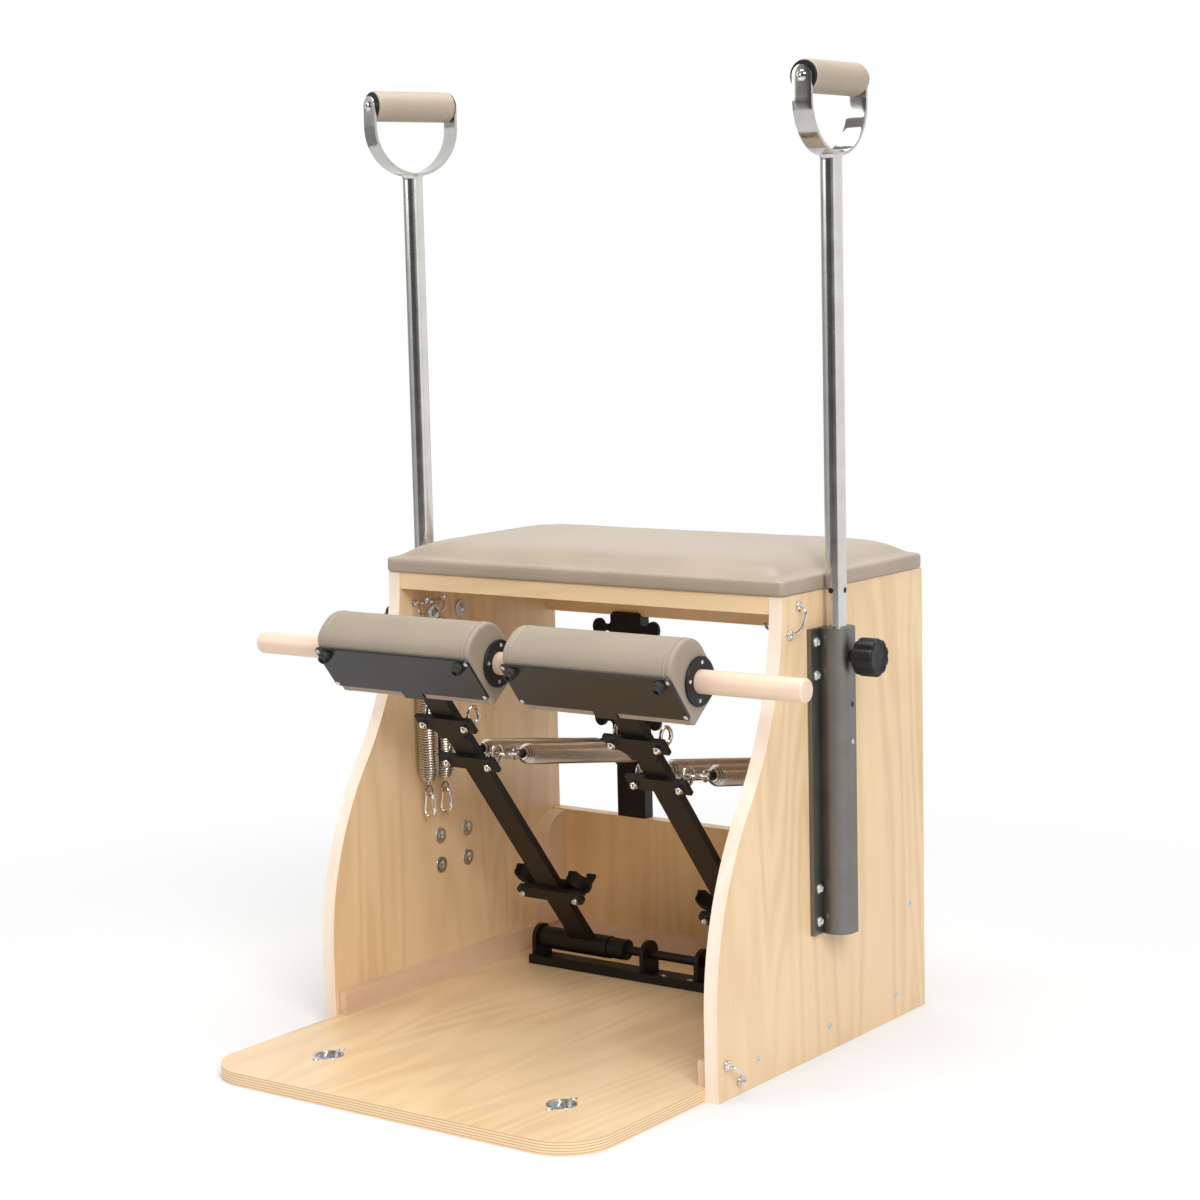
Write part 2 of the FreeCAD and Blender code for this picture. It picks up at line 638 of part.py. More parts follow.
def pedal_trim(side):
    """End discs that the dowel runs in, rubber bumpers and the sole plate's screws."""
    half = PAD_LONG / 2
    bore = inside(24, S.dowel_radius + S.running_fit)
    discs = [cut(prism(24, S.disc_radius, S.disc_thick, x, S.dowel_behind, S.dowel_up, "x"),
                 prism(24, bore, S.disc_thick + 2, x - 1, S.dowel_behind, S.dowel_up, "x"))
             for x in (-half - S.disc_thick, half)]
    node(on_pedal(group(*discs), side), f"pad_discs_{side_name(side)}")
    face = -S.pad_front - S.plate_thick
    bumpers = [cut(prism(12, S.bumper_radius, S.bumper_tall, x, face, S.bumper_up, "-y"),
                   prism(8, S.bumper_bore, S.bumper_bore_deep + 1, x, face - S.bumper_tall - 1, S.bumper_up,
                         "y"))
               for x in (-BUMPERS / 2, BUMPERS / 2)]
    node(on_pedal(group(*bumpers), side), f"pedal_bumpers_{side_name(side)}")
    inset = S.plate_screw_in
    screws = [prism(8, S.small_screw, S.wood_screw_tall, x, face, z, "-y")
              for x in (inset - PLATE_LONG / 2, PLATE_LONG / 2 - inset)
              for z in (S.plate_bottom + inset, S.plate_top - inset)]
    node(on_pedal(group(*screws), side), f"plate_screws_{side_name(side)}")


def dowel():
    """The wooden dowel that locks both steps together; it draws out sideways."""
    bar = rod(S.dowel_radius, S.dowel_long, -S.dowel_long / 2, S.dowel_behind, S.dowel_up, "x")
    thing = place(group(bar), ZERO, PIVOT_Y, S.pivot_height, S.arm_lean, (1, 0, 0))
    node(thing, "connecting_dowel")


# Springs and snap links


def biarc(start, heading, stop, leaving):
    """Two arcs that join two points with given directions, each as a Part edge."""
    chord, both = stop - start, heading + leaving
    a, b, c = both.dot(both) - 4, -2 * chord.dot(both), chord.dot(chord)
    reach = -c / b if abs(a) < 1e-9 else (-b - math.sqrt(b * b - 4 * a * c)) / (2 * a)
    corners = start + heading * reach, stop - leaving * reach
    joint = (corners[0] + corners[1]) / 2
    edges = []
    for near, corner, far in ((start, corners[0], joint), (joint, corners[1], stop)):
        weight = (far - near).Length / (2 * reach)
        middle = (near + corner * (2 * weight) + far) / (2 + 2 * weight)
        sag = (middle - (near + far) / 2).Length
        edges.append(Part.Arc(near, middle, far).toShape() if sag > 1e-4 else Part.makeLine(near, far))
    return edges


def tube(stations, wire, lead=True):
    """Sweeps flat-sided wire through stations of (point, direction); both ends run straight."""
    edges = []
    if lead:
        point, heading = stations[0]
        edges.append(Part.makeLine(point - heading * (2 * wire), point))
    for (start, heading), (stop, leaving) in zip(stations, stations[1:]):
        edges += biarc(start, heading, stop, leaving)
    if lead:
        point, heading = stations[-1]
        edges.append(Part.makeLine(point, point + heading * (2 * wire)))
    path = Part.Wire(edges)
    begin, way = edges[0].valueAt(edges[0].FirstParameter), stations[0][1]
    side = way.cross(V(0, 0, 1) if abs(way.z) < 0.9 else V(0, 1, 0)).normalize()
    third = way.cross(side)
    count = int(S.wire_sides.value)
    rim = [begin + (side * math.cos(turn) + third * math.sin(turn)) * wire
           for turn in (2 * math.pi * step / count for step in range(count + 1))]
    shell = Part.BRepOffsetAPI.MakePipeShell(path)
    shell.add(Part.makePolygon(rim))
    shell.build()
    shell.makeSolid()
    return shell.shape(), path


def self_gap(path, wire, near=8):
    """Least free gap between stretches of one tube that are not neighbours along it."""
    count = max(int(path.Length / 1.5), 60)
    points = path.discretize(Number=count)
    step, least = path.Length / (count - 1), 1e9
    skip = int(near * wire / step) + 1
    for index, point in enumerate(points):
        for other in points[index + skip:]:
            least = min(least, (point - other).Length)
    return least - 2 * wire


def unit(vector):
    return V(vector).normalize()


def ring_stations(centre, radius, begin, end, count):
    """Points round a loop in the YZ plane, turned from +Z towards +Y by angles in degrees."""
    stations = []
    for step in range(count + 1):
        angle = math.radians(begin + (end - begin) * step / count)
        spot = V(0, math.sin(angle), math.cos(angle)) * radius
        stations.append((V(0, 0, centre) + spot, V(0, math.cos(angle), -math.sin(angle))))
    return stations


def coil_stations(low, high, turns, radius, end_radius):
    """Half turns of a helix whose first and last turns draw in to a smaller radius."""
    def spot(share):
        edge = min(share, 1 - share) * turns
        spread = radius if edge >= 1 else end_radius + (radius - end_radius) * math.sin(edge * math.pi / 2)
        angle = 2 * math.pi * turns * share
        return V(spread * math.sin(angle), spread * math.cos(angle), low + (high - low) * share)

    stations, steps = [], []
    for step in range(int(4 * turns) + 1):
        if step in (1, 3, 4 * turns - 1, 4 * turns - 3) or step % 2 == 0:
            steps.append(step / (4 * turns))
    for share in steps:
        ahead, behind = spot(min(share + 1e-4, 1)), spot(max(share - 1e-4, 0))
        stations.append((spot(share), unit(ahead - behind)))
    return stations


def snap_span():
    """From the bar in the eye bolt's ring to the bar in the spring's front loop."""
    return (S.snap_front + S.snap_long + S.snap_rear).value


def spring(long, turns):
    """One unbroken tube along +Z: a rear loop round the origin, the coil and a small front loop."""
    wire = S.coil_wire.value
    rear = ring_stations(S.rear_loop_out.value, S.rear_loop.value, 90, 360, 2)
    coil = coil_stations(S.coil_rear.value, long - S.coil_front.value, turns, S.coil_radius.value,
                         S.coil_end.value)
    slack = S.front_loop.value - wire - S.ring_wire.value - S.ring_gap.value
    front = ring_stations(long - snap_span() - slack, S.front_loop.value, 180, 405, 2)
    solid, path = tube(rear + coil + front, wire)
    print(f"spring of {turns:.0f} turns, least gap to itself {self_gap(path, wire):.2f} mm")
    return solid


def snap_link(long):
    """A pear-shaped link in the XZ plane whose wide end reaches to long along +Z and is flat there."""
    wide, narrow, apart = S.snap_front.value, S.snap_rear.value, S.snap_long.value
    high, low, wire = long - wide, long - wide - apart, S.ring_wire.value
    ends = ([(high, wide, angle) for angle in range(-10, 191, 40)]
            + [(low, narrow, angle) for angle in (195, 270, 345)])

    def loop(offset):
        points = [V((radius + offset) * math.cos(math.radians(angle)), -wire,
                    level + (radius + offset) * math.sin(math.radians(angle)))
                  for level, radius, angle in ends]
        return Part.makePolygon(points + points[:1])

    face = Part.makeFace([loop(wire), loop(-wire)], "Part::FaceMakerBullseye")
    return face.extrude(V(0, 2 * wire, 0)).Solids[0]


def spring_line():
    """Where the working springs run: their rear point, their length and their lean about X."""
    lean = math.radians(S.arm_lean.value)
    behind, up = S.eye_back.value, S.cross_lower.value
    eye = V(0, PIVOT_Y.value + behind * math.cos(lean) - up * math.sin(lean),
            S.pivot_height.value + behind * math.sin(lean) + up * math.cos(lean))
    rear = V(0, LOBE_Y.value, S.lobe_first.value)
    seat = S.eye_mean - S.eye_wire - S.ring_wire - S.eye_play
    way = eye - rear
    return rear, way.Length - seat.value, math.degrees(math.atan2(-way.y, way.z))


def stand(shape, x, y, z, turn):
    """Copies a form that was drawn along +Z to its place, turned about X."""
    moved = shape.copy()
    moved.Placement = FreeCAD.Placement(V(x, y, z), FreeCAD.Rotation(V(1, 0, 0), turn))
    return moved


def working_springs():
    rear, long, turn = spring_line()
    coil, link = spring(long, S.coil_turns.value), snap_link(long)
    stop = long - S.coil_front.value - S.coil_plug_back.value
    round_about = [V(math.cos(turn), math.sin(turn), 0) * S.plug_radius.value + V(0, 0, stop)
                   for turn in (math.pi / 6 * step for step in range(13))]
    plug = Part.Face(Part.makePolygon(round_about)).extrude(V(0, 0, S.coil_plug_long.value))
    for side in (-1, 1):
        for name, form in (("springs", coil), ("snaps", link), ("spring_plugs", plug)):
            pair = [stand(form, (side * PITCH / 2 + offset).value, rear.y, rear.z, turn)
                    for offset in (-S.eye_offset, S.eye_offset)]
            node(feature(Part.makeCompound(pair)), f"{name}_{side_name(side)}")


def spare_springs():
    """Two springs that hang ready on the left panel's wire hangers, each with its snap link."""
    long = S.spare_long.value
    coil, link = spring(long, S.spare_turns.value), snap_link(long)
    drop = S.rear_loop - S.coil_wire - S.hanger_wire - S.rear_loop_out - S.ring_gap
    x, z = (S.spare_out - INNER).value, (S.spare_top - drop).value
    for name, form in (("spare_springs", coil), ("spare_snaps", link)):
        pair = [stand(form, x, (FRONT + S.spare_back + step * S.spare_apart).value, z, 180)
                for step in (0, 1)]
        node(feature(Part.makeCompound(pair)), name)
    hangers = []
    for side in (-1, 1):
        inward = "-x" if side > 0 else "x"
        for step in (0, 1):
            y = FRONT + S.spare_back + S.spare_apart * step
            end = side * (INNER - S.hanger_long + S.hanger_wire)
            hangers.append(fuse(
                prism(8, S.hanger_wire, S.hanger_long, side * INNER, y, S.spare_top, inward),
                prism(8, S.hanger_wire, S.hanger_tip, end, y, S.spare_top)))
    node(group(*hangers), "spare_hangers")


# Handle poles and their brackets


def root(size):
    return Size(math.sqrt(size.value), f"sqrt({size.text})")


def pole_bracket(side):
    """An extruded bracket: a flat flange with a round boss that the pole slides in."""
    half, skin = S.bracket_wide / 2, S.bracket_flange
    into, flat, radius = S.pole_out - skin, S.bracket_flat, S.bracket_radius
    root_half = root(radius * radius - into * into)
    flat_half = root(radius * radius - flat * flat)
    face = S.pole_out + flat
    body = new_body("PoleBracket")
    sketch = sketch_in(body, "XY_Plane")
    outline(sketch, [(ZERO, -half), (skin, -half), (skin, -root_half, radius, -1), (face, -flat_half),
                     (face, flat_half, radius, -1), (skin, root_half), (skin, half), (ZERO, half)])
    circle(sketch, S.pole_out, ZERO, S.pole_radius + S.running_fit)
    pad(body, sketch, S.bracket_top - S.bracket_bottom)
    tapped = sketch_in(body, "YZ_Plane", S.pole_out)
    hole, up = S.screw_radius + S.screw_gap, S.knob_up - S.bracket_bottom
    outline(tapped, [(hole, up - hole), (hole, up + hole), (-hole, up + hole), (-hole, up - hole)])
    pocket(body, tapped, flat + 1, reverse=True)
    return place(body, side * HALF, POLE_Y, S.bracket_bottom, 0 if side > 0 else 180)


def bracket_bolts():
    """Each bolt's head on the bracket, and its broad washer inside the panel."""
    pieces = []
    levels = [S.bracket_bottom + S.bolt_end, S.bracket_bottom + S.bolt_end + S.bolt_step,
              S.bracket_top - S.bolt_end - S.bolt_step, S.bracket_top - S.bolt_end]
    for side in (-1, 1):
        out, back = ("x", "-x") if side > 0 else ("-x", "x")
        for y in (POLE_Y - S.bolt_apart / 2, POLE_Y + S.bolt_apart / 2):
            for z in levels:
                pieces.append(prism(6, S.bolt_head, S.bolt_head_tall, side * (HALF + S.bracket_flange),
                                    y, z, out))
                pieces.append(prism(8, S.washer_radius, S.washer_thick, side * INNER, y, z, back))
    node(group(*pieces), "bracket_bolts")


def lock_knob(side):
    """A fluted hand knob whose screw bears on the pole."""
    out = "x" if side > 0 else "-x"
    tip = side * (POLE_X + S.pole_radius + S.screw_gap)
    face = side * (POLE_X + S.bracket_flat + S.screw_gap)
    grip_at = face + side * S.knob_stem_long
    end = grip_at + side * S.knob_long
    screw_long = S.bracket_flat - S.pole_radius + 1
    whole = fuse(prism(12, S.screw_radius, screw_long, tip, POLE_Y, S.knob_up, out),
                 prism(12, S.knob_stem, S.knob_stem_long, face, POLE_Y, S.knob_up, out),
                 rod(S.knob_radius, S.knob_long, grip_at, POLE_Y, S.knob_up, out))
    count = int(S.knob_flutes.value)
    far = S.knob_radius + S.flute_radius * 0.5
    tools = [prism(6, S.flute_radius, S.knob_long + 2, grip_at - side, POLE_Y + far * math.cos(turn),
                 S.knob_up + far * math.sin(turn), out)
             for turn in (2 * math.pi * step / count for step in range(count))]
    dish = prism(24, S.knob_dish, S.knob_dish_deep + 1, end - side * S.knob_dish_deep, POLE_Y, S.knob_up, out)
    node(cut(whole, *tools, dish), f"lock_knob_{side_name(side)}")


def handle(side):
    """A pole with a welded U strap, and the hand grip that spans the strap's ends."""
    turn = S.right_turn if side > 0 else S.left_turn
    name = side_name(side)

    def on_pole(thing, z=ZERO):
        return place(thing, side * POLE_X, POLE_Y, z, turn)

    radius, long = S.pole_radius, S.pole_top - S.pole_bottom
    drill = S.pole_hole_up - S.pole_bottom
    pole = cut(rod(radius, long + S.strap_thick / 2),
               prism(16, radius - S.pole_wall, long - S.plug_cap, ZERO, ZERO, -1),
               *[prism(10, S.pole_hole, radius + 1, ZERO, ZERO, drill, along) for along in ("-x", "-y")])
    strap = u_strap()
    place(strap, ZERO, ZERO, long + S.strap_thick / 2 + S.strap_radius)
    node(on_pole(fuse(pole, strap), S.pole_bottom), f"handle_pole_{name}")
    axis = S.pole_top + S.strap_thick / 2 + S.strap_radius + S.strap_leg
    inside = S.strap_radius - S.strap_thick / 2
    node(on_pole(hand_grip(inside - S.grip_cap), axis), f"hand_grip_{name}")
    caps = [prism(20, S.grip_radius, S.grip_cap, x, ZERO, ZERO, "x") for x in (-inside, inside - S.grip_cap)]
    node(on_pole(group(*caps), axis), f"grip_ends_{name}")
    outside = S.strap_radius + S.strap_thick / 2
    screws = [prism(12, S.grip_screw, S.grip_screw_tall, x, ZERO, ZERO, along)
              for x, along in ((-outside, "-x"), (outside, "x"))]
    node(on_pole(group(*screws), axis), f"grip_screws_{name}")
    cap = prism(16, radius - S.screw_gap, S.plug_cap, ZERO, ZERO, -S.plug_cap)
    sleeve = prism(16, (radius - S.pole_wall) * math.cos(math.pi / 16) - S.running_fit, S.plug_long)
    node(place(fuse(cap, sleeve), side * POLE_X, POLE_Y, S.pole_bottom), f"pole_plug_{name}")


def u_strap():
    """A flat strap bent to a U, upright legs over a half circle, with rounded ends."""
    outer, inner = S.strap_radius + S.strap_thick / 2, S.strap_radius - S.strap_thick / 2
    top = S.strap_leg + S.strap_wide / 2
    body = plate("UStrap", "XZ_Plane", [
        (inner, top), (inner, ZERO, inner, 1), (ZERO, -inner, inner, 1), (-inner, ZERO), (-inner, top),
        (-outer, top), (-outer, ZERO, outer, -1), (ZERO, -outer, outer, -1), (outer, ZERO), (outer, top)],
        S.strap_wide, middle=True)
    half, high = S.strap_wide.value / 2, top.value
    soften(body, body.Tip, lambda edge: abs(abs(centre_of(edge).y) - half) < 0.1
           and abs(centre_of(edge).z - high) < 0.1 and edge.BoundBox.XLength > 1, S.strap_end)
    return body


def hand_grip(half):
    """A turned grip with bevelled ends."""
    bevel, radius = S.grip_bevel, S.grip_radius
    body = new_body("HandGrip")
    sketch = sketch_in(body, "XZ_Plane")
    outline(sketch, [(-half, ZERO), (half, ZERO), (half, radius - bevel), (half - bevel, radius),
                     (bevel - half, radius), (-half, radius - bevel)])
    turned = body.newObject("PartDesign::Revolution", "Turned")
    turned.Profile, turned.ReferenceAxis, turned.Angle = sketch, (sketch, ["H_Axis"]), 360
    body.Tip = turned
    return body


# Small fittings


def strap_hooks():
    """Bent wire hooks for exercise straps on the outside of the panels."""
    wire, span = S.strap_hook_wire, S.strap_hook_span / 2
    hooks = []
    for side in (-1, 1):
        out = "x" if side > 0 else "-x"
        for back, up, turn in ((S.upper_hook_back, S.upper_hook_up, S.upper_hook_turn),
                               (S.lower_hook_back, S.lower_hook_up, S.lower_hook_turn)):
            pieces = []
            for way in (-1, 1):
                pieces += [prism(6, wire, S.strap_hook_out, ZERO, way * span, ZERO, out),
                           prism(6, S.strap_eye, wire, ZERO, way * span, ZERO, out)]
            bar = prism(6, wire, 2 * (span + wire), side * (S.strap_hook_out - wire), -span - wire, ZERO, "y")
            hooks.append(place(fuse(*pieces, bar), side * HALF, FRONT + back, up, turn, (1, 0, 0)))
    node(group(*hooks), "strap_hooks")


def frame_screws():
    """Screw heads on the panels, beside the floor eyes, on the channel and on the hook plates."""
    big, small, tall = S.wood_screw, S.small_screw, S.wood_screw_tall
    heads = []
    low = S.base_thick + S.cleat_tall / 2
    for side in (-1, 1):
        out = "x" if side > 0 else "-x"
        for back, up in ((0.92, S.back_top * 0.7), (0.845, low), (0.51, low), (0.175, low)):
            heads.append(prism(6, big, tall, side * HALF, FRONT + S.frame_depth * back, up, out))
        for way in (-1, 1):
            heads.append(prism(6, big, tall, side * S.floor_eye_out, EYE_Y + way * S.floor_screw_apart / 2,
                               S.base_thick))
        heads.append(prism(6, big, tall, side * (PITCH / 2 - S.ear_inner) / 2, PIVOT_Y,
                           S.base_thick + S.channel_thick))
        for step in (0.5, 3.5):
            heads.append(prism(6, big, tall, side * PITCH / 2, LOBE_Y - S.hook_plate_thick / 2,
                               S.lobe_first + S.lobe_pitch * step, "-y"))
    node(group(*heads), "frame_screws")


def floor_eyes():
    """Steel cups let into the base board, each with a low eye for a strap."""
    eyes = []
    floor = S.base_thick - S.cup_deep
    outer = S.cup_radius - 0.3
    top = S.base_thick + S.floor_eye_above - S.floor_eye_mean - S.floor_eye_wire
    for side in (-1, 1):
        x = side * S.floor_eye_out
        cup = cut(prism(14, outer, S.cup_deep, x, EYE_Y, floor),
                  prism(14, outer - S.cup_wall, S.cup_deep, x, EYE_Y, floor + S.cup_wall))
        ring = eye_ring(S.floor_eye_mean, S.floor_eye_wire, x, EYE_Y, top)
        below = box(x - outer, EYE_Y - outer, floor - outer, 2 * outer, 2 * outer, outer + S.cup_wall / 2)
        eyes.append(fuse(cup, cut(ring, below)))
    node(group(*eyes), "floor_eyes")


def build():
    base_board()
    boards()
    seat()
    posts()
    pivot()
    for side in (-1, 1):
        side_panel(side)
        for piece in (pedal_arm, eye_bolts, hook_bracket, pedal_pad, pedal_plate, pedal_trim, lock_knob,
                      handle):
            piece(side)
    dowel()
    working_springs()
    spare_springs()
    node(group(pole_bracket(-1), pole_bracket(1)), "pole_brackets")
    bracket_bolts()
    strap_hooks()
    frame_screws()
    floor_eyes()
    DOC.recompute()


def check():
    """Stops before anything is written if an object failed or a shape is not sound."""
    for thing in DOC.Objects:
        if "Invalid" in thing.State or "Error" in thing.State:
            raise RuntimeError(f"{thing.Name} failed: {thing.State}")
    for thing in NODES:
        if thing.Shape.isNull() or not thing.Shape.isValid() or not thing.Shape.Solids:
            raise RuntimeError(f"{thing.Label} has no sound shape")


build()
check()
os.makedirs("parts", exist_ok=True)
for piece in NODES:
    piece.Shape.exportStep(f"parts/{piece.Label}.step")
print(len(NODES), "pieces written")
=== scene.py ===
"""Pilates chair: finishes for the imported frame, and the soft, wound and turned pieces that dress it."""
import math

import bmesh
import bpy
import numpy as np
from bpy.props import FloatProperty, FloatVectorProperty, IntProperty, PointerProperty
from mathutils import Matrix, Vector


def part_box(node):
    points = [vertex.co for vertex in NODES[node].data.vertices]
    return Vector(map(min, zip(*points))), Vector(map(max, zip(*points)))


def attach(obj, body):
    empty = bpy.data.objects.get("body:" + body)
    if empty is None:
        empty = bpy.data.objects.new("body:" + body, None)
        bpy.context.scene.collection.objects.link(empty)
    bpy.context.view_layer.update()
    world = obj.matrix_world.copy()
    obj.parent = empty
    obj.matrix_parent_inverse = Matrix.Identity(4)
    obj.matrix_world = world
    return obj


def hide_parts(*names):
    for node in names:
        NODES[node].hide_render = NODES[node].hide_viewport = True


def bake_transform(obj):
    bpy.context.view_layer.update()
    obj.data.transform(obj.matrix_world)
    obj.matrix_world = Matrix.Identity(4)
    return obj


bl_info = {
    "name": "Pilates chair dressing",
    "version": (1, 0, 0),
    "blender": (4, 5, 0),
    "location": "View3D > Sidebar > Chair",
    "description": "Dresses the packed pilates chair with upholstery, springs, fittings and finishes",
    "category": "Object",
}

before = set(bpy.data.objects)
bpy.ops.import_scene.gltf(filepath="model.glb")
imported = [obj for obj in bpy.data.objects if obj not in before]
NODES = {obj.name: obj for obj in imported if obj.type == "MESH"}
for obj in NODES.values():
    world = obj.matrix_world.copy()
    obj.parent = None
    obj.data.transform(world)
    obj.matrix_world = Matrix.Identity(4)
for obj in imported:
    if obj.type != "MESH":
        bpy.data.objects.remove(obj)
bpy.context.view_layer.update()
SIDES = {"left": -1, "right": 1}
BOTH = (-1, 1)
MM = 0.001

# Decimals kept of a millimetre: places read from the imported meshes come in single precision.
DIGITS = 4


def corners_of(node):
    """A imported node's lowest and highest corners in millimetres, as stored."""
    return np.array(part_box(node)) / MM


def low_of(node):
    """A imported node's lowest corner."""
    return np.round(corners_of(node)[0], DIGITS)


def high_of(node):
    """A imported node's highest corner."""
    return np.round(corners_of(node)[1], DIGITS)


def centre_of(node):
    """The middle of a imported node's box."""
    return np.round((low_of(node) + high_of(node)) / 2, DIGITS)


def half_of(node):
    """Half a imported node's size along each axis."""
    return np.round((high_of(node) - low_of(node)) / 2, DIGITS)


# Places in millimetres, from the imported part.
INNER, FRONT = low_of("side_panel_right")[:2]
HALF, PANEL_DEEP = high_of("side_panel_right")[0], 2 * half_of("side_panel_right")[1]
BASE_TOP = high_of("base_board")[2]
PIVOT = centre_of("pivot_axle")
# Hooks for springs on each plate, and how far it runs on past the outer ones.
HOOK_COUNT, HOOK_END = 5, 22.0
HOOK_FRONT, HOOK_REAR = low_of("hook_plates")[1], high_of("hook_plates")[1]
HOOK_LOW = low_of("hook_plates")[2] + HOOK_END
HOOK_PITCH = np.round((high_of("hook_plates")[2] - HOOK_END - HOOK_LOW) / (HOOK_COUNT - 1), DIGITS)
SPRING_REAR = np.array([0.0, centre_of("hook_plates")[1], HOOK_LOW])
POLE = centre_of("handle_pole_right") * (1, 1, 0)
BRACKET_FACE = high_of("pole_brackets")[0]
FLOOR_EYE_X, FLOOR_EYE_Y = 176.0, centre_of("floor_eyes")[1]

# The handles. The right one is packed with its grip along Y.
HANDLE_TURN = {"left": math.radians(72), "right": math.radians(90)}
GRIP_AXIS = centre_of("hand_grip_right")[2]
GRIP_HALF, GRIP_RADIUS = half_of("hand_grip_right")[1:]
STRAP_LEG, STRAP_THICK = 26.0, 4.0
STRAP_HALF, STRAP_RADIUS = half_of("handle_pole_right")[:2] - (0, STRAP_THICK / 2)
POLE_RADIUS, POLE_LOW = 12.7, low_of("handle_pole_right")[2]
POLE_TOP = GRIP_AXIS - STRAP_LEG - STRAP_RADIUS - STRAP_THICK / 2

# Places on a pedal, from its axle, with the arm upright.
LEAN = math.radians(38.2)
PEDAL_X, PAD_HALF = centre_of("pedal_pad_right")[0], half_of("pedal_pad_right")[0]
EYE_X, EYE_BACK, EYE_LEVELS, EYE_SEAT = 33.0, 9.0, (444.0, 373.0), 3.6
CROSS_FRONT, CROSS_REAR, PLATE_FACE = -11.0, -5.0, -28.5


def length(name, about, value):
    """A size in metres, from millimetres."""
    return FloatProperty(name=name, description=about, default=value * MM, min=0.0, precision=5,
                         unit="LENGTH")


def whole(name, about, value, least=1):
    """A whole number."""
    return IntProperty(name=name, description=about, default=value, min=least)


class ChairSizes(bpy.types.PropertyGroup):
    """Sizes of the dressing that a user may change."""
    seat_band: length("Seat band", "Height of the seat's upright edge", 17.0)
    seat_corner: length("Seat corner", "Plan radius of the seat's corners", 8.0)
    seat_puff: length("Seat puff", "Most that the seat foam swells", 3.0)
    pad_round: length("Pad rounding", "Radius of the step pads' sewn ends", 4.0)
    coil_wire: length("Spring wire", "Radius of the spring wire", 1.6)
    coil_turns: whole("Spring turns", "Turns of each working spring", 80)
    spare_turns: whole("Spare turns", "Turns of each spare spring", 64)
    snap_wire: length("Snap wire", "Radius of the snap links' wire", 2.0)
    knob_flutes: whole("Knob flutes", "Grooves round the lock knobs", 10, 3)


def colour(name, about, value):
    """A colour in linear red, green and blue."""
    return FloatVectorProperty(name=name, description=about, subtype="COLOR", size=3, default=value,
                               min=0.0, max=1.0)


class ChairColours(bpy.types.PropertyGroup):
    """Colours of the finishes."""
    ply: colour("Plywood", "Face veneer of the boards", (0.83, 0.60, 0.35))
    beech: colour("Beech", "Solid wood cleats", (0.75, 0.53, 0.36))
    maple: colour("Maple", "The connecting dowel", (0.79, 0.59, 0.44))
    vinyl: colour("Vinyl", "Upholstery of the seat, steps and grips", (0.378, 0.309, 0.234))
    steel: colour("Black steel", "Powder coat of the pedals and posts", (0.010, 0.008, 0.007))
    anodised: colour("Anodised", "The pole brackets", (0.215, 0.205, 0.19))
    chrome: colour("Chrome", "Poles, eyes and links", (0.72, 0.70, 0.67))
    spring: colour("Spring steel", "Plated spring wire", (0.66, 0.62, 0.57))
    # This colour also serves the dark discs that paint the shade in the pole and bracket holes.
    plastic: colour("Black plastic", "Knobs, caps and discs", (0.009, 0.009, 0.009))
    zinc: colour("Zinc", "Screws and washers", (0.62, 0.63, 0.63))


# Finishes

FINISHES = {}
RING_RATE, RING_DEPTH, PLAIN = 74.0, 0.14, 0.5
GLUE_PITCH, STEP_MESH, GRIP_MESH = 0.0032, 0.0027, 0.0018
# Edge colours of the side panels: partly solid lips, partly a painted highlight where the edges catch the
# lamps.
LIP_AND_HIGHLIGHT_DEEP, LIP_AND_HIGHLIGHT_PALE = (0.86, 0.67, 0.50), (0.98, 0.86, 0.74)


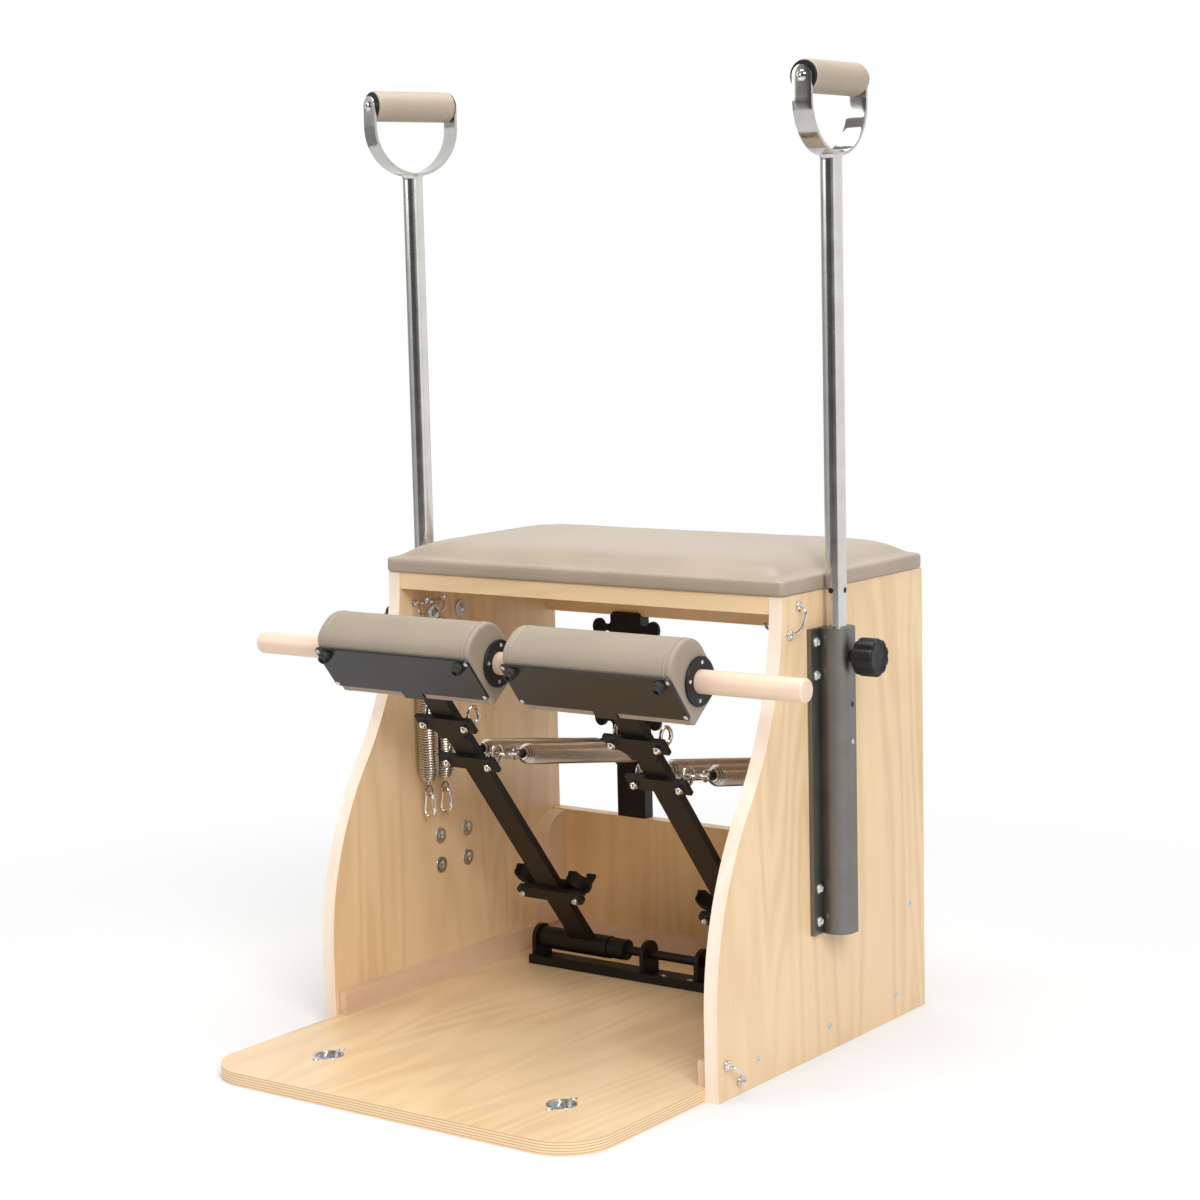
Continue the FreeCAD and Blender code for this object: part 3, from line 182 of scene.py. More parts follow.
class Finish:
    """A material, kept by its name, and the few node calls that the finishes below are written with."""

    def __init__(self, name, base, roughness, metallic=0.0):
        FINISHES[name] = self.material = bpy.data.materials.new(name)
        self.material.use_nodes = True
        self.material.diffuse_color = (*base, 1.0)
        self.tree = self.material.node_tree
        self.shader = self.tree.nodes["Principled BSDF"]
        self.set(Base_Color=(*base, 1.0), Roughness=roughness, Metallic=metallic)

    def set(self, **values):
        """Sets inputs of the main shader, with an underscore for each space in their names."""
        for name, value in values.items():
            self.shader.inputs[name.replace("_", " ")].default_value = value

    def node(self, kind, **settings):
        """A new node with its own settings, or else its inputs, set by name."""
        made = self.tree.nodes.new(kind)
        for name, value in settings.items():
            if hasattr(made, name):
                setattr(made, name, value)
            else:
                made.inputs[name.replace("_", " ")].default_value = value
        return made

    def link(self, out, into):
        self.tree.links.new(out, into)

    def feed(self, value, socket):
        """Sets a socket to a number or a colour, or links another socket to it."""
        if isinstance(value, (int, float)):
            socket.default_value = value
        elif isinstance(value, tuple):
            socket.default_value = (*value, 1.0)
        elif value is not None:
            self.link(value, socket)

    def place(self, scale=(1, 1, 1), turned=(0, 0, 0), source="Object"):
        """Coordinates of the piece, stretched and turned."""
        where = self.node("ShaderNodeTexCoord")
        mapping = self.node("ShaderNodeMapping", Scale=scale, Rotation=turned)
        self.link(where.outputs[source], mapping.inputs["Vector"])
        return mapping.outputs["Vector"]

    def split(self, vector):
        """The X, Y and Z of a vector."""
        made = self.node("ShaderNodeSeparateXYZ")
        self.link(vector, made.inputs["Vector"])
        return made.outputs

    def noise(self, rates, detail=2.0, distortion=0.0):
        """Noise with about so many cells to the metre along each axis."""
        made = self.node("ShaderNodeTexNoise", Scale=1.0, Detail=detail, Distortion=distortion)
        self.link(self.place(rates), made.inputs["Vector"])
        return made.outputs["Fac"]

    def math(self, operation, first, second=None, clamp=False):
        made = self.node("ShaderNodeMath", operation=operation, use_clamp=clamp)
        for socket, value in zip(made.inputs, (first, second)):
            self.feed(value, socket)
        return made.outputs[0]

    def ramp(self, factor, *stops):
        made = self.node("ShaderNodeValToRGB")
        band = made.color_ramp
        while len(band.elements) < len(stops):
            band.elements.new(0.5)
        for element, (position, shade) in zip(band.elements, stops):
            element.position, element.color = position, (*shade, 1.0)
        self.link(factor, made.inputs["Fac"])
        return made.outputs["Color"]

    def mix(self, factor, first, second):
        made = self.node("ShaderNodeMix", data_type="RGBA")
        for index, value in zip((0, 6, 7), (factor, first, second)):
            self.feed(value, made.inputs[index])
        return made.outputs[2]

    def edge_of(self, axis):
        """1 where the surface is nearer to square with an axis than to facing along it, and 0 elsewhere."""
        facing = self.split(self.node("ShaderNodeNewGeometry").outputs["Normal"])
        return self.math("LESS_THAN", self.math("ABSOLUTE", facing[axis]), 0.5)

    def half_wave(self, wave):
        """A wave between -1 and 1 brought to between 0 and 1."""
        return self.math("ADD", self.math("MULTIPLY", wave, 0.5), 0.5)

    def paint(self, shade):
        self.link(shade, self.shader.inputs["Base Color"])

    def rough(self, value, low, high):
        made = self.node("ShaderNodeMapRange", To_Min=low, To_Max=high)
        self.link(value, made.inputs["Value"])
        self.link(made.outputs["Result"], self.shader.inputs["Roughness"])

    def bump(self, height, distance, strength):
        made = self.node("ShaderNodeBump", Strength=strength, Distance=distance)
        self.link(height, made.inputs["Height"])
        self.link(made.outputs["Normal"], self.shader.inputs["Normal"])

    def show(self, shader):
        """Puts another shader on the surface."""
        self.link(shader.outputs[0], self.tree.nodes["Material Output"].inputs["Surface"])


def shade_of(base, factors):
    """A colour times one factor, or times one for each part, with no part over 1."""
    return tuple(np.minimum(1.0, np.array(base) * factors).tolist())


def stretched(along, across, lengthwise):
    """Noise cells to the metre, drawn out along one axis."""
    rates = [across] * 3
    rates["XYZ".index(along)] = lengthwise
    return rates


def wood(name, base, along, figure=1.0, layers=False, lip_and_highlight=False):
    """Lacquered wood: contour lines of a slow stretched noise are the growth rings, fine noise the fibres.

    along is the axis of the grain. layers adds the glue lines of plywood on upright edges. The lip flag gives
    the side panels' edges a paler colour: partly solid lips, partly a painted highlight where the edges catch
    the lamps.
    """
    made = Finish(name, base, 0.36)
    made.set(Coat_Weight=0.25, Coat_Roughness=0.22)
    field = made.noise(stretched(along, 7.0, 0.85), distortion=0.35)
    fibre = made.noise(stretched(along, 900.0, 22.0))
    cloud = made.noise([5.0] * 3)
    tone = made.math("SINE", made.math("MULTIPLY", field, RING_RATE))
    tone = made.math("MULTIPLY", tone, RING_DEPTH * figure)
    for part, weight in ((fibre, 0.5), (cloud, 0.6)):
        tone = made.math("ADD", tone, made.math("MULTIPLY", made.math("SUBTRACT", part, 0.5), weight))
    tone = made.math("ADD", tone, 0.5, True)
    deep, pale = shade_of(base, (0.80, 0.74, 0.66)), shade_of(base, (1.08, 1.12, 1.18))
    shade = made.ramp(tone, (0.0, deep), (0.5, base), (1.0, pale))
    # Paler colour on faces that don't face along X: partly solid lips, partly a painted highlight of the lit
    # edges.
    if lip_and_highlight:
        shade = made.mix(made.edge_of("X"), shade, made.ramp(tone, (0.0, LIP_AND_HIGHLIGHT_DEEP), (1.0, LIP_AND_HIGHLIGHT_PALE)))
    if layers:
        height = made.split(made.place())["Z"]
        wave = made.math("SINE", made.math("MULTIPLY", height, 2 * math.pi / GLUE_PITCH))
        glue = shade_of(base, (0.72, 0.58, 0.46))
        stripe = made.ramp(made.half_wave(wave), (0.05, glue), (0.3, shade_of(base, 0.97)), (0.85, pale))
        shade = made.mix(made.edge_of("Z"), shade, stripe)
    made.paint(shade)
    made.rough(fibre, 0.30, 0.46)
    made.bump(fibre, 0.00006, 0.35)


def vinyl(name, base, mesh_pitch=0.0):
    """Upholstery vinyl with a leather-like grain, or with a fine printed mesh of a pitch in metres."""
    gloss, deep, strength = (0.46, 0.00025, 0.5) if mesh_pitch else (0.34, 0.00012, 0.35)
    made = Finish(name, base, gloss)
    made.set(Specular_IOR_Level=0.5)
    cloud = made.noise([14.0] * 3, 3.0)
    shade = made.ramp(cloud, (0.25, shade_of(base, 0.93)), (0.75, shade_of(base, 1.06)))
    if mesh_pitch:
        rate = 2 * math.pi / mesh_pitch
        across = made.split(made.place((rate, rate, 1), (0, 0, math.radians(45)), "UV"))
        weave = made.math("MULTIPLY", made.math("SINE", across["X"]), made.math("SINE", across["Y"]))
        dots = made.half_wave(weave)
        shade = made.mix(made.math("MULTIPLY", dots, 0.55), shade, shade_of(base, 0.55))
        height = made.math("SUBTRACT", 1.0, dots)
    else:
        grain = made.node("ShaderNodeTexVoronoi", Scale=1.0)
        made.link(made.place([1100.0] * 3), grain.inputs["Vector"])
        height = grain.outputs["Distance"]
    made.paint(shade)
    made.rough(cloud, gloss - 0.05, gloss + 0.07)
    made.bump(height, deep, strength)


def coated(name, base, roughness, speck=0.00004, shine=0.5):
    """Powder coat or moulded plastic: a fine orange-peel bump and slightly uneven gloss."""
    made = Finish(name, base, roughness)
    made.set(Specular_IOR_Level=shine)
    wear = made.noise([22.0] * 3, 4.0)
    made.paint(made.ramp(wear, (0.3, shade_of(base, 0.85)), (0.75, shade_of(base, 1.25))))
    made.rough(wear, roughness - 0.06, roughness + 0.08)
    made.bump(made.noise([1500.0] * 3), speck, 0.5)


def metal(name, base, roughness, brushed=None):
    """Plated or polished metal with faint smudges, and brush lines along an axis where one is given."""
    made = Finish(name, base, roughness, 1.0)
    smudge = made.noise([35.0] * 3, 4.0)
    made.paint(made.ramp(smudge, (0.3, shade_of(base, 0.92)), (0.7, shade_of(base, 1.04))))
    made.rough(smudge, max(0.03, roughness - 0.04), roughness + 0.05)
    if brushed:
        made.bump(made.noise(stretched(brushed, 1600.0, 12.0)), 0.00002, 0.4)


def make_finishes(colours):
    """Every finish of the chair."""
    ply, beech, cloth = tuple(colours.ply), tuple(colours.beech), tuple(colours.vinyl)
    steel, plastic, chrome = tuple(colours.steel), tuple(colours.plastic), tuple(colours.chrome)
    wood("ply_upright", ply, "Z", lip_and_highlight=True)
    wood("ply_deep", ply, "Y", layers=True)
    # The back panel's wood is darker and warmer than the sides: painted shade of the recess inside the chair.
    wood("ply_back_painted_shade", shade_of(ply, (0.97, 0.90, 0.78)), "Z")
    wood("ply_across", shade_of(ply, 1.04), "X", PLAIN)
    wood("beech_deep", beech, "Y", PLAIN)
    wood("beech_upright", beech, "Z", PLAIN)
    wood("maple_across", tuple(colours.maple), "X", PLAIN)
    vinyl("seat_vinyl", cloth)
    vinyl("mesh_vinyl", shade_of(cloth, 0.98), STEP_MESH)
    vinyl("grip_vinyl", shade_of(cloth, 1.2), GRIP_MESH)
    coated("black_steel", steel, 0.42, shine=0.24)
    coated("plate_steel", steel, 0.34)
    coated("black_plastic", plastic, 0.42, shine=0.3)
    coated("black_rubber", plastic, 0.62, 0.00008)
    metal("anodised", tuple(colours.anodised), 0.42, "Z")
    metal("chrome", chrome, 0.07)
    metal("strap_steel", shade_of(chrome, 0.74), 0.1)
    metal("pole_steel", shade_of(chrome, 0.95), 0.17)
    metal("spring_steel", tuple(colours.spring), 0.22)
    metal("zinc", tuple(colours.zinc), 0.3)


NODE_FINISH = {
    "base_board": "ply_deep", "side_panel_left": "ply_upright", "side_panel_right": "ply_upright",
    "back_panel": "ply_back_painted_shade", "front_rail": "ply_across", "rear_rail": "ply_across",
    "seat_board": "ply_across", "floor_cleats": "beech_deep", "corner_cleats": "beech_upright",
    "spring_posts": "black_steel", "hook_plates": "black_steel", "pivot_channel": "black_steel",
    "pivot_axle": "black_steel", "pivot_bushes": "black_plastic", "axle_collars": "black_steel",
    "pole_brackets": "anodised", "bracket_bolts": "zinc", "strap_hooks": "chrome", "frame_screws": "zinc",
    "spare_hangers": "chrome", "spare_springs": "spring_steel", "spare_snaps": "chrome",
    "floor_eyes": "zinc", "connecting_dowel": "maple_across", "seat_cushion": "seat_vinyl",
}
SIDE_FINISH = {
    "pedal_arm": "black_steel", "pedal_plate": "plate_steel", "pedal_pad": "mesh_vinyl",
    "pad_discs": "black_plastic", "pedal_bumpers": "black_rubber", "plate_screws": "zinc",
    "eye_bolts": "chrome", "hook_bracket": "black_steel", "springs": "spring_steel",
    "spring_plugs": "black_plastic", "snaps": "chrome", "lock_knob": "black_plastic",
    "pole_plug": "black_plastic", "handle_pole": "pole_steel", "hand_grip": "grip_vinyl",
    "grip_ends": "black_plastic", "grip_screws": "chrome",
}


def finish_nodes():
    """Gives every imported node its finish."""
    table = dict(NODE_FINISH)
    for name in SIDES:
        table.update({f"{node}_{name}": finish for node, finish in SIDE_FINISH.items()})
    for node, finish in table.items():
        mesh = NODES[node].data
        mesh.materials.clear()
        mesh.materials.append(FINISHES[finish])


# Surfaces

class Skin:
    """Collects surfaces, each a grid of rings in millimetres, into one mesh."""

    def __init__(self):
        self.points, self.faces, self.uvs, self.count = [], [], [], 0

    def add(self, grid, closed=False, uv=None):
        """Joins each ring of a (rings, around, 3) grid to the next; open ends are capped unless closed."""
        rings, around = grid.shape[:2]
        index = np.arange(rings * around).reshape(rings, around) + self.count
        ahead = np.roll(index, -1, axis=1)
        if closed:
            index, ahead = np.vstack([index, index[:1]]), np.vstack([ahead, ahead[:1]])
        quads = np.stack([index[:-1], ahead[:-1], ahead[1:], index[1:]], axis=-1).reshape(-1, 4)
        self.faces += quads.tolist()
        if not closed:
            self.faces += [index[0][::-1].tolist(), index[-1].tolist()]
        self.points.append(grid.reshape(-1, 3))
        self.uvs.append(np.zeros((rings * around, 2)) if uv is None else uv.reshape(-1, 2))
        self.count += rings * around

    def build(self, name, finish, sharp=35.0):
        """Makes the mesh object, with outward normals, smooth shading and a UV map in metres."""
        mesh = bpy.data.meshes.new(name)
        mesh.from_pydata((np.vstack(self.points) * MM).tolist(), [], self.faces)
        form = bmesh.new()
        form.from_mesh(mesh)
        bmesh.ops.recalc_face_normals(form, faces=form.faces)
        form.to_mesh(mesh)
        form.free()
        mesh.polygons.foreach_set("use_smooth", np.ones(len(mesh.polygons), bool))
        mesh.set_sharp_from_angle(angle=math.radians(sharp))
        corner = np.empty(len(mesh.loops), np.int32)
        mesh.loops.foreach_get("vertex_index", corner)
        layer = mesh.uv_layers.new(name="Along")
        layer.data.foreach_set("uv", (np.vstack(self.uvs)[corner] * MM).astype(np.float32).ravel())
        piece = bpy.data.objects.new(name, mesh)
        bpy.context.scene.collection.objects.link(piece)
        mesh.materials.append(FINISHES[finish])
        return piece


def settle(piece, body, slot, *nodes):
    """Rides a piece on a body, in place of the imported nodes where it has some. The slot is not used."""
    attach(piece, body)
    if nodes:
        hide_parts(*nodes)


# The two axes across each axis, in order, and the axis itself.
AXES = {"x": (1, 2, 0), "y": (2, 0, 1), "z": (0, 1, 2)}


def turn(points, axis, angle):
    """Points turned about an axis."""
    first, second, _ = AXES[axis]
    turned = np.array(points, float)
    u, v = turned[..., first].copy(), turned[..., second].copy()
    turned[..., first] = u * math.cos(angle) - v * math.sin(angle)
    turned[..., second] = u * math.sin(angle) + v * math.cos(angle)
    return turned


def on_pedal(points, side):
    """From the upright arm's own frame, with its foot on the axle, to its leaned place on one side."""
    return turn(points, "x", LEAN) + PIVOT + (side * PEDAL_X, 0, 0)


def on_handle(points, name):
    """From a handle's own frame, with the pole on Z and the grip along X, to its turned place."""
    return turn(points, "z", HANDLE_TURN[name]) + POLE * (SIDES[name], 1, 0)


def lathe(profile, at=(0, 0, 0), along="z", way=1, around=28, lobes=None):
    """A turned surface: each (radius, distance) of the profile is a circle at that distance along an axis.

    lobes(angles) may scale the radii round the circle, one row for each circle.
    """
    profile = np.array(profile, float)
    angle = np.linspace(0, 2 * np.pi, around, endpoint=False)
    radius = profile[:, :1] * (np.ones((1, around)) if lobes is None else lobes(angle))
    first, second, third = AXES[along]
    grid = np.empty((len(profile), around, 3))
    grid[..., first] = radius * np.cos(angle)
    grid[..., second] = radius * np.sin(angle)
    grid[..., third] = way * profile[:, 1:2]
    return grid + np.array(at, float)


def sweep(path, radius, aside, sides=10, closed=False):
    """A round wire along a path: a circle of the radius square to the path at each point.

    aside is a direction, or one for each point, that the path never runs along.
    """
    path = np.array(path, float)
    ahead = (np.roll(path, -1, 0) - np.roll(path, 1, 0)) if closed else np.gradient(path, axis=0)
    ahead /= np.linalg.norm(ahead, axis=1, keepdims=True)
    aside = np.broadcast_to(np.array(aside, float), path.shape)
    across = aside - (aside * ahead).sum(1, keepdims=True) * ahead
    across /= np.linalg.norm(across, axis=1, keepdims=True)
    third = np.cross(ahead, across)
    angle = np.linspace(0, 2 * np.pi, sides, endpoint=False)[None, :, None]
    radius = np.broadcast_to(np.asarray(radius, float), (len(path),))[:, None, None]
    return path[:, None] + radius * (np.cos(angle) * across[:, None] + np.sin(angle) * third[:, None])


def ribbon(path, across, wide, thick, round_by=0.8):
    """A flat strap along a path: a rounded rectangle, wide along across and thick square to it."""
    path = np.array(path, float)
    ahead = np.gradient(path, axis=0)
    ahead /= np.linalg.norm(ahead, axis=1, keepdims=True)
    across = np.broadcast_to(np.array(across, float), path.shape)
    up = np.cross(ahead, across)
    section = rounded_ring(2.0, 2.0, 0.5, 6, 4)
    flat = np.clip(np.abs(section) * 1.25, 0, 1) * np.sign(section)
    wide = np.broadcast_to(np.asarray(wide, float), (len(path),))[:, None]
    edge = np.minimum(round_by, wide * 0.9)
    width = flat[None, :, 0] * (wide / 2 - edge) + section[None, :, 0] * edge
    depth = flat[None, :, 1] * (thick / 2 - round_by) + section[None, :, 1] * round_by
    return path[:, None] + width[..., None] * across[:, None] + depth[..., None] * up[:, None]


def arc(centre, radius, begin, end, points, plane="yz"):
    """Points on an arc in a plane, angles in degrees from the plane's first axis."""
    angle = np.radians(np.linspace(begin, end, points))
    path = np.zeros((points, 3)) + np.array(centre, float)
    for axis, value in zip(plane, (np.cos(angle), np.sin(angle))):
        path[:, "xyz".index(axis)] += radius * value
    return path


def resample(path, points):
    """The path again with points evenly spread along its length."""
    path = np.array(path, float)
    run = np.r_[0, np.cumsum(np.linalg.norm(np.diff(path, axis=0), axis=1))]
    even = np.linspace(0, run[-1], points)
    return np.stack([np.interp(even, run, path[:, axis]) for axis in range(3)], axis=1)


def inward_of(outline):
    """Unit normals of a closed outline: its run from point to point, turned a quarter to the left."""
    along = np.roll(outline, -1, 0) - np.roll(outline, 1, 0)
    return np.stack([-along[:, 1], along[:, 0]], 1) / np.linalg.norm(along, axis=1, keepdims=True)


def rounded_ring(wide, deep, radius, side=36, corner=10):
    """A rounded rectangle round the origin, with a fixed count of points on each side and corner."""
    straight = np.linspace(-1, 1, side, endpoint=False)
    bend = np.linspace(0, np.pi / 2, corner, endpoint=False)
    inner_x, inner_y = wide / 2 - radius, deep / 2 - radius
    runs = []
    for quarter, (reach, far) in enumerate(((inner_y, wide / 2), (inner_x, deep / 2)) * 2):
        spin = quarter * np.pi / 2
        line = np.stack([np.full(side, far), straight * reach], axis=1)
        bow = np.stack([far - radius + radius * np.cos(bend), reach + radius * np.sin(bend)], axis=1)
        both = np.vstack([line, bow])
        runs.append(np.stack([both[:, 0] * np.cos(spin) - both[:, 1] * np.sin(spin),
                              both[:, 0] * np.sin(spin) + both[:, 1] * np.cos(spin)], axis=1))
    return np.vstack(runs)


# Upholstery

def swell(piece, held, steady, most, pressure=4.0, frames=18):
    """Inflates a piece as cloth with its held points pinned, then scales the swelling to most metres.

    steady is a weight for each point: at 1 it takes the median swelling of such points, at 0 its own.
    """
    mesh = piece.data
    rest = np.empty(len(mesh.vertices) * 3, np.float32)
    mesh.vertices.foreach_get("co", rest)
    rest = rest.reshape(-1, 3)
    group = piece.vertex_groups.new(name="held")
    group.add(np.flatnonzero(held).tolist(), 1.0, "REPLACE")
    cloth = piece.modifiers.new("Cloth", "CLOTH")
    settings = cloth.settings
    settings.quality, settings.mass = 6, 0.3
    settings.tension_stiffness = settings.compression_stiffness = 20.0
    settings.bending_stiffness = 4.0
    settings.use_pressure, settings.uniform_pressure_force = True, pressure
    settings.vertex_group_mass = "held"
    settings.effector_weights.gravity = 0.0
    cloth.point_cache.frame_start, cloth.point_cache.frame_end = 1, frames
    scene = bpy.context.scene
    for step in range(1, frames + 1):
        scene.frame_set(step)
    seen = piece.evaluated_get(bpy.context.evaluated_depsgraph_get()).to_mesh()
    moved = np.empty(len(rest) * 3, np.float32)
    seen.vertices.foreach_get("co", moved)
    shift = moved.reshape(-1, 3) - rest
    shift += steady[:, None] * (np.median(shift[steady > 0.9], axis=0) - shift)
    shift *= min(1.0, most / max(1e-9, np.linalg.norm(shift, axis=1).max()))
    piece.modifiers.remove(cloth)
    piece.vertex_groups.remove(group)
    scene.frame_set(1)
    mesh.vertices.foreach_set("co", (rest + shift).astype(np.float32).ravel())
    mesh.update()


# How far in from the seat's edge and how far up: the hem from its underside, and the shoulder above the band.
SEAT_HEM = np.array([(9.0, 0.4), (3.0, 0.3), (1.2, 0.9), (0.2, 2.2), (0.0, 5.0)])
SEAT_SHOULDER = np.array([
    (0, 0), (0.8, 1.2), (2, 2.0), (4, 2.7), (7, 3.5), (10, 4.6), (13, 6.2), (16, 8.4), (19, 10.9),
    (22, 13.3), (26, 16.2), (31, 19.0), (38, 21.9), (47, 24.5), (58, 26.5), (72, 28.2), (88, 29.3),
    (105, 29.9), (120, 30.2), (135, 30.3), (148, 30.3), (158, 30.3)])
SEAT_LEDGE, HELD_OVER, CROWN_GAP, CROWN_BEGIN, CROWN_FADE = 0.3, 2.0, 1.0, 70.0, 60.0


def make_seat(sizes):
    """The seat cover: rounded rectangles up an upright band, over a sewn ledge and shoulder, to the crown."""
    low, high = corners_of("seat_cushion")
    middle, wide, deep = (low + high) / 2, high[0] - low[0], high[1] - low[1]
    band, corner, tall = sizes.seat_band / MM, sizes.seat_corner / MM, high[2] - low[2] - CROWN_GAP
    (hem_in, hem_up), (over, up) = SEAT_HEM.T, SEAT_SHOULDER.T
    inset = np.r_[hem_in, 0.0, 0.0, over + SEAT_LEDGE]
    rise = np.r_[hem_up, band * 0.6, band * 0.95, band + up * (tall - band) / up[-1]]
    rows = []
    for drawn, height in zip(inset, rise):
        inside = wide - 2 * drawn, deep - 2 * drawn
        bend = min(corner + 0.45 * max(0.0, drawn - hem_in[0]), 0.42 * inside[1])
        ring = rounded_ring(*inside, bend) + middle[:2]
        rows.append(np.c_[ring, np.full(len(ring), low[2] + height)])
    grid = np.array(rows)
    skin = Skin()
    skin.add(grid)
    piece = skin.build("seat_cover", "seat_vinyl", 60.0)
    crown = np.clip((inset - CROWN_BEGIN) / CROWN_FADE, 0, 1)
    held = np.repeat(rise <= band + HELD_OVER, grid.shape[1])
    steady = np.repeat(crown ** 2 * (3 - 2 * crown), grid.shape[1])
    swell(piece, held, steady, sizes.seat_puff)
    settle(piece, "frame", "seat_vinyl", "seat_cushion")


# Y and Z of the dowel in the upright arm's frame.
DOWEL_AT = np.round(turn(centre_of("connecting_dowel") - PIVOT, "x", -LEAN)[1:], 2)


def pad_outline(points):
    """The step's outline in the arm's YZ plane, from its front foot round by the back and over the top."""
    front, back, low, top, heel, radius = -25.5, 45.5, 507.0, 565.0, 20.0, 35.5
    bend, over, full = np.linspace(0, np.pi / 2, 24), np.linspace(0, np.pi / 2, 30), 2 / 3
    brow = np.stack([front + radius - radius * np.sin(over) ** full, top + radius * np.cos(over) ** full], 1)
    pieces = [np.array([(front + 3, low), (front + 12, low), (back - heel - 8, low)]),
              np.stack([back - heel + heel * np.sin(bend), low + heel - heel * np.cos(bend)], 1),
              np.array([(back, low + heel + 8), (back, top - 8)]),
              np.stack([back - radius + radius * np.cos(bend), top + radius * np.sin(bend)], 1),
              brow[1:],
              np.array([(front, top - 8), (front, low + 12), (front, low + 3)])]
    line = np.vstack(pieces + [pieces[0][:1]])
    path = resample(np.c_[np.zeros(len(line)), line], points + 1)
    return path[:-1, 1:]


# The sewn seam near a pad's end: how far before the rounding, and how far drawn in.
PAD_SEAM = np.array([(9.0, 0.0), (8.2, 0.5), (7.6, 0.2), (6.8, -0.5), (5.8, -0.6), (5.0, -0.1), (4.4, 0.6),
                     (3.6, 0.3), (2.6, 0.0)])


def make_pads(sizes):
    """Each step cover: the outline carried along X, rounded in at sewn ends and closed to the bore."""
    points, half, bore, edge = 132, PAD_HALF, 15.0, sizes.pad_round / MM
    outline = pad_outline(points)
    inward = inward_of(outline)
    reach = outline - DOWEL_AT
    circle = DOWEL_AT + bore * reach / np.linalg.norm(reach, axis=1, keepdims=True)
    bend = np.linspace(0, np.pi / 2, 7)
    middle = np.stack([np.linspace(0, half - edge - 10, 22), np.zeros(22)], 1)
    rounding = np.stack([half - edge + edge * np.sin(bend), edge * (1 - np.cos(bend))], 1)
    stations = np.vstack([middle, PAD_SEAM * (-1, 1) + (half - edge, 0), rounding])
    rows = [np.c_[np.full(points, x), outline + inward * drawn] for x, drawn in stations]
    rim = outline + inward * edge
    cap = [np.c_[np.full(points, half - 0.5 * math.sin(part * math.pi)), rim * (1 - part) + circle * part]
           for part in (0.06, 0.12, 0.35, 0.7, 1.0)]
    right = np.array(rows + cap)
    grid = np.vstack([right[::-1] * (-1, 1, 1), right[1:]])
    run = np.r_[0, np.cumsum(np.linalg.norm(np.diff(outline, axis=0), axis=1))]
    uv = np.stack([grid[..., 0], np.broadcast_to(run, grid.shape[:2])], -1)
    for name, side in SIDES.items():
        skin = Skin()
        skin.add(on_pedal(grid, side), closed=True, uv=uv)
        piece = skin.build(f"step_cover_{name}", "mesh_vinyl", 50.0)
        settle(piece, f"pedal_{name}", "pad_vinyl", f"pedal_pad_{name}")


def make_dowel():
    """The connecting dowel: a turned rod whose ends are rounded over."""
    low, high = corners_of("connecting_dowel")
    middle, half, radius, edge = (low + high) / 2, (high[0] - low[0]) / 2, (high[1] - low[1]) / 2, 3
    bend = np.linspace(0, np.pi / 2, 7)
    end = np.stack([radius - edge + edge * np.cos(bend), half - edge + edge * np.sin(bend)], 1)
    straight = np.stack([np.full(30, radius), np.linspace(edge - half, half - edge, 32)[1:-1]], 1)
    skin = Skin()
    skin.add(lathe(np.vstack([end[::-1] * (1, -1), straight, end]), middle, "x", 1, 48))
    settle(skin.build("dowel_rod", "maple_across"), "dowel", "dowel", "connecting_dowel")


# Springs and links

COIL_RADIUS, COIL_NECK, COIL_REAR, COIL_FRONT = 12.2, 6.2, 20.0, 48.0
NECK_TURNS, TURN_STEPS = 4.5, 20
SNAP_WIDE, SNAP_NARROW, SNAP_APART = 8.0, 5.0, 20.0
REAR_LOOP, REAR_OUT, FRONT_LOOP = 9.6, 2.2, 6.6
HOOK_WIRE, LINK_WIRE, LINK_GAP = 1.6, 2.2, 0.6
SPARE_LONG, SPARE_TOP, SPARE_X = 280.0, 520.8, centre_of("spare_snaps")[0]
PEG_WIRE = 2.0
SPARE_Y = low_of("spare_hangers")[1] + PEG_WIRE, high_of("spare_hangers")[1] - PEG_WIRE
PEG_UP = low_of("spare_hangers")[2] + PEG_WIRE


def spring_line():
    """Length of a working spring from its post to the bar in the eye, and its lean about X."""
    eye = turn((0, EYE_BACK, EYE_LEVELS[1]), "x", LEAN) + PIVOT
    way = eye - SPRING_REAR
    return np.linalg.norm(way) - EYE_SEAT, math.atan2(-way[1], way[2])


def coil(low, high, turns, wire):
    """A helix along Z whose radius draws in by a sine over its last turns, with a round wire on it."""
    share = np.linspace(0, 1, turns * TURN_STEPS + 1)
    end = np.minimum(share, 1 - share) * turns / NECK_TURNS
    radius = COIL_NECK + (COIL_RADIUS - COIL_NECK) * np.sin(np.clip(end, 0, 1) * np.pi / 2)
    angle = 2 * np.pi * turns * share
    path = np.stack([radius * np.sin(angle), radius * np.cos(angle), low + (high - low) * share], 1)
    outward = np.stack([np.sin(angle), np.cos(angle), np.zeros_like(angle)], 1)
    return sweep(path, wire, outward, 8)


def spring_parts(long, turns, wire):
    """The coil, the ring that goes on the post and the drawn hook that the link goes in."""
    front = long - COIL_FRONT
    eye = long - SNAP_WIDE - SNAP_APART - SNAP_NARROW - (FRONT_LOOP - HOOK_WIRE - LINK_WIRE - LINK_GAP)
    stem = [(0, 0, REAR_OUT + REAR_LOOP - 0.5), (0, 0, COIL_REAR + 3), (0, 0, COIL_REAR + 14)]
    tail = [(0, 0, eye - FRONT_LOOP + 0.4), (0, 0, front - 4), (0, 0, front - 16)]
    wires = [(arc((0, 0, REAR_OUT), REAR_LOOP, 0, 360, 49)[:-1], True), (stem, False),
             (arc((0, 0, eye), FRONT_LOOP, -80, 250, 40), False), (tail, False)]
    return [(coil(COIL_REAR, front, turns, wire), False),
            *((sweep(path, wire, (1, 0, 0), 8, closed), closed) for path, closed in wires)]


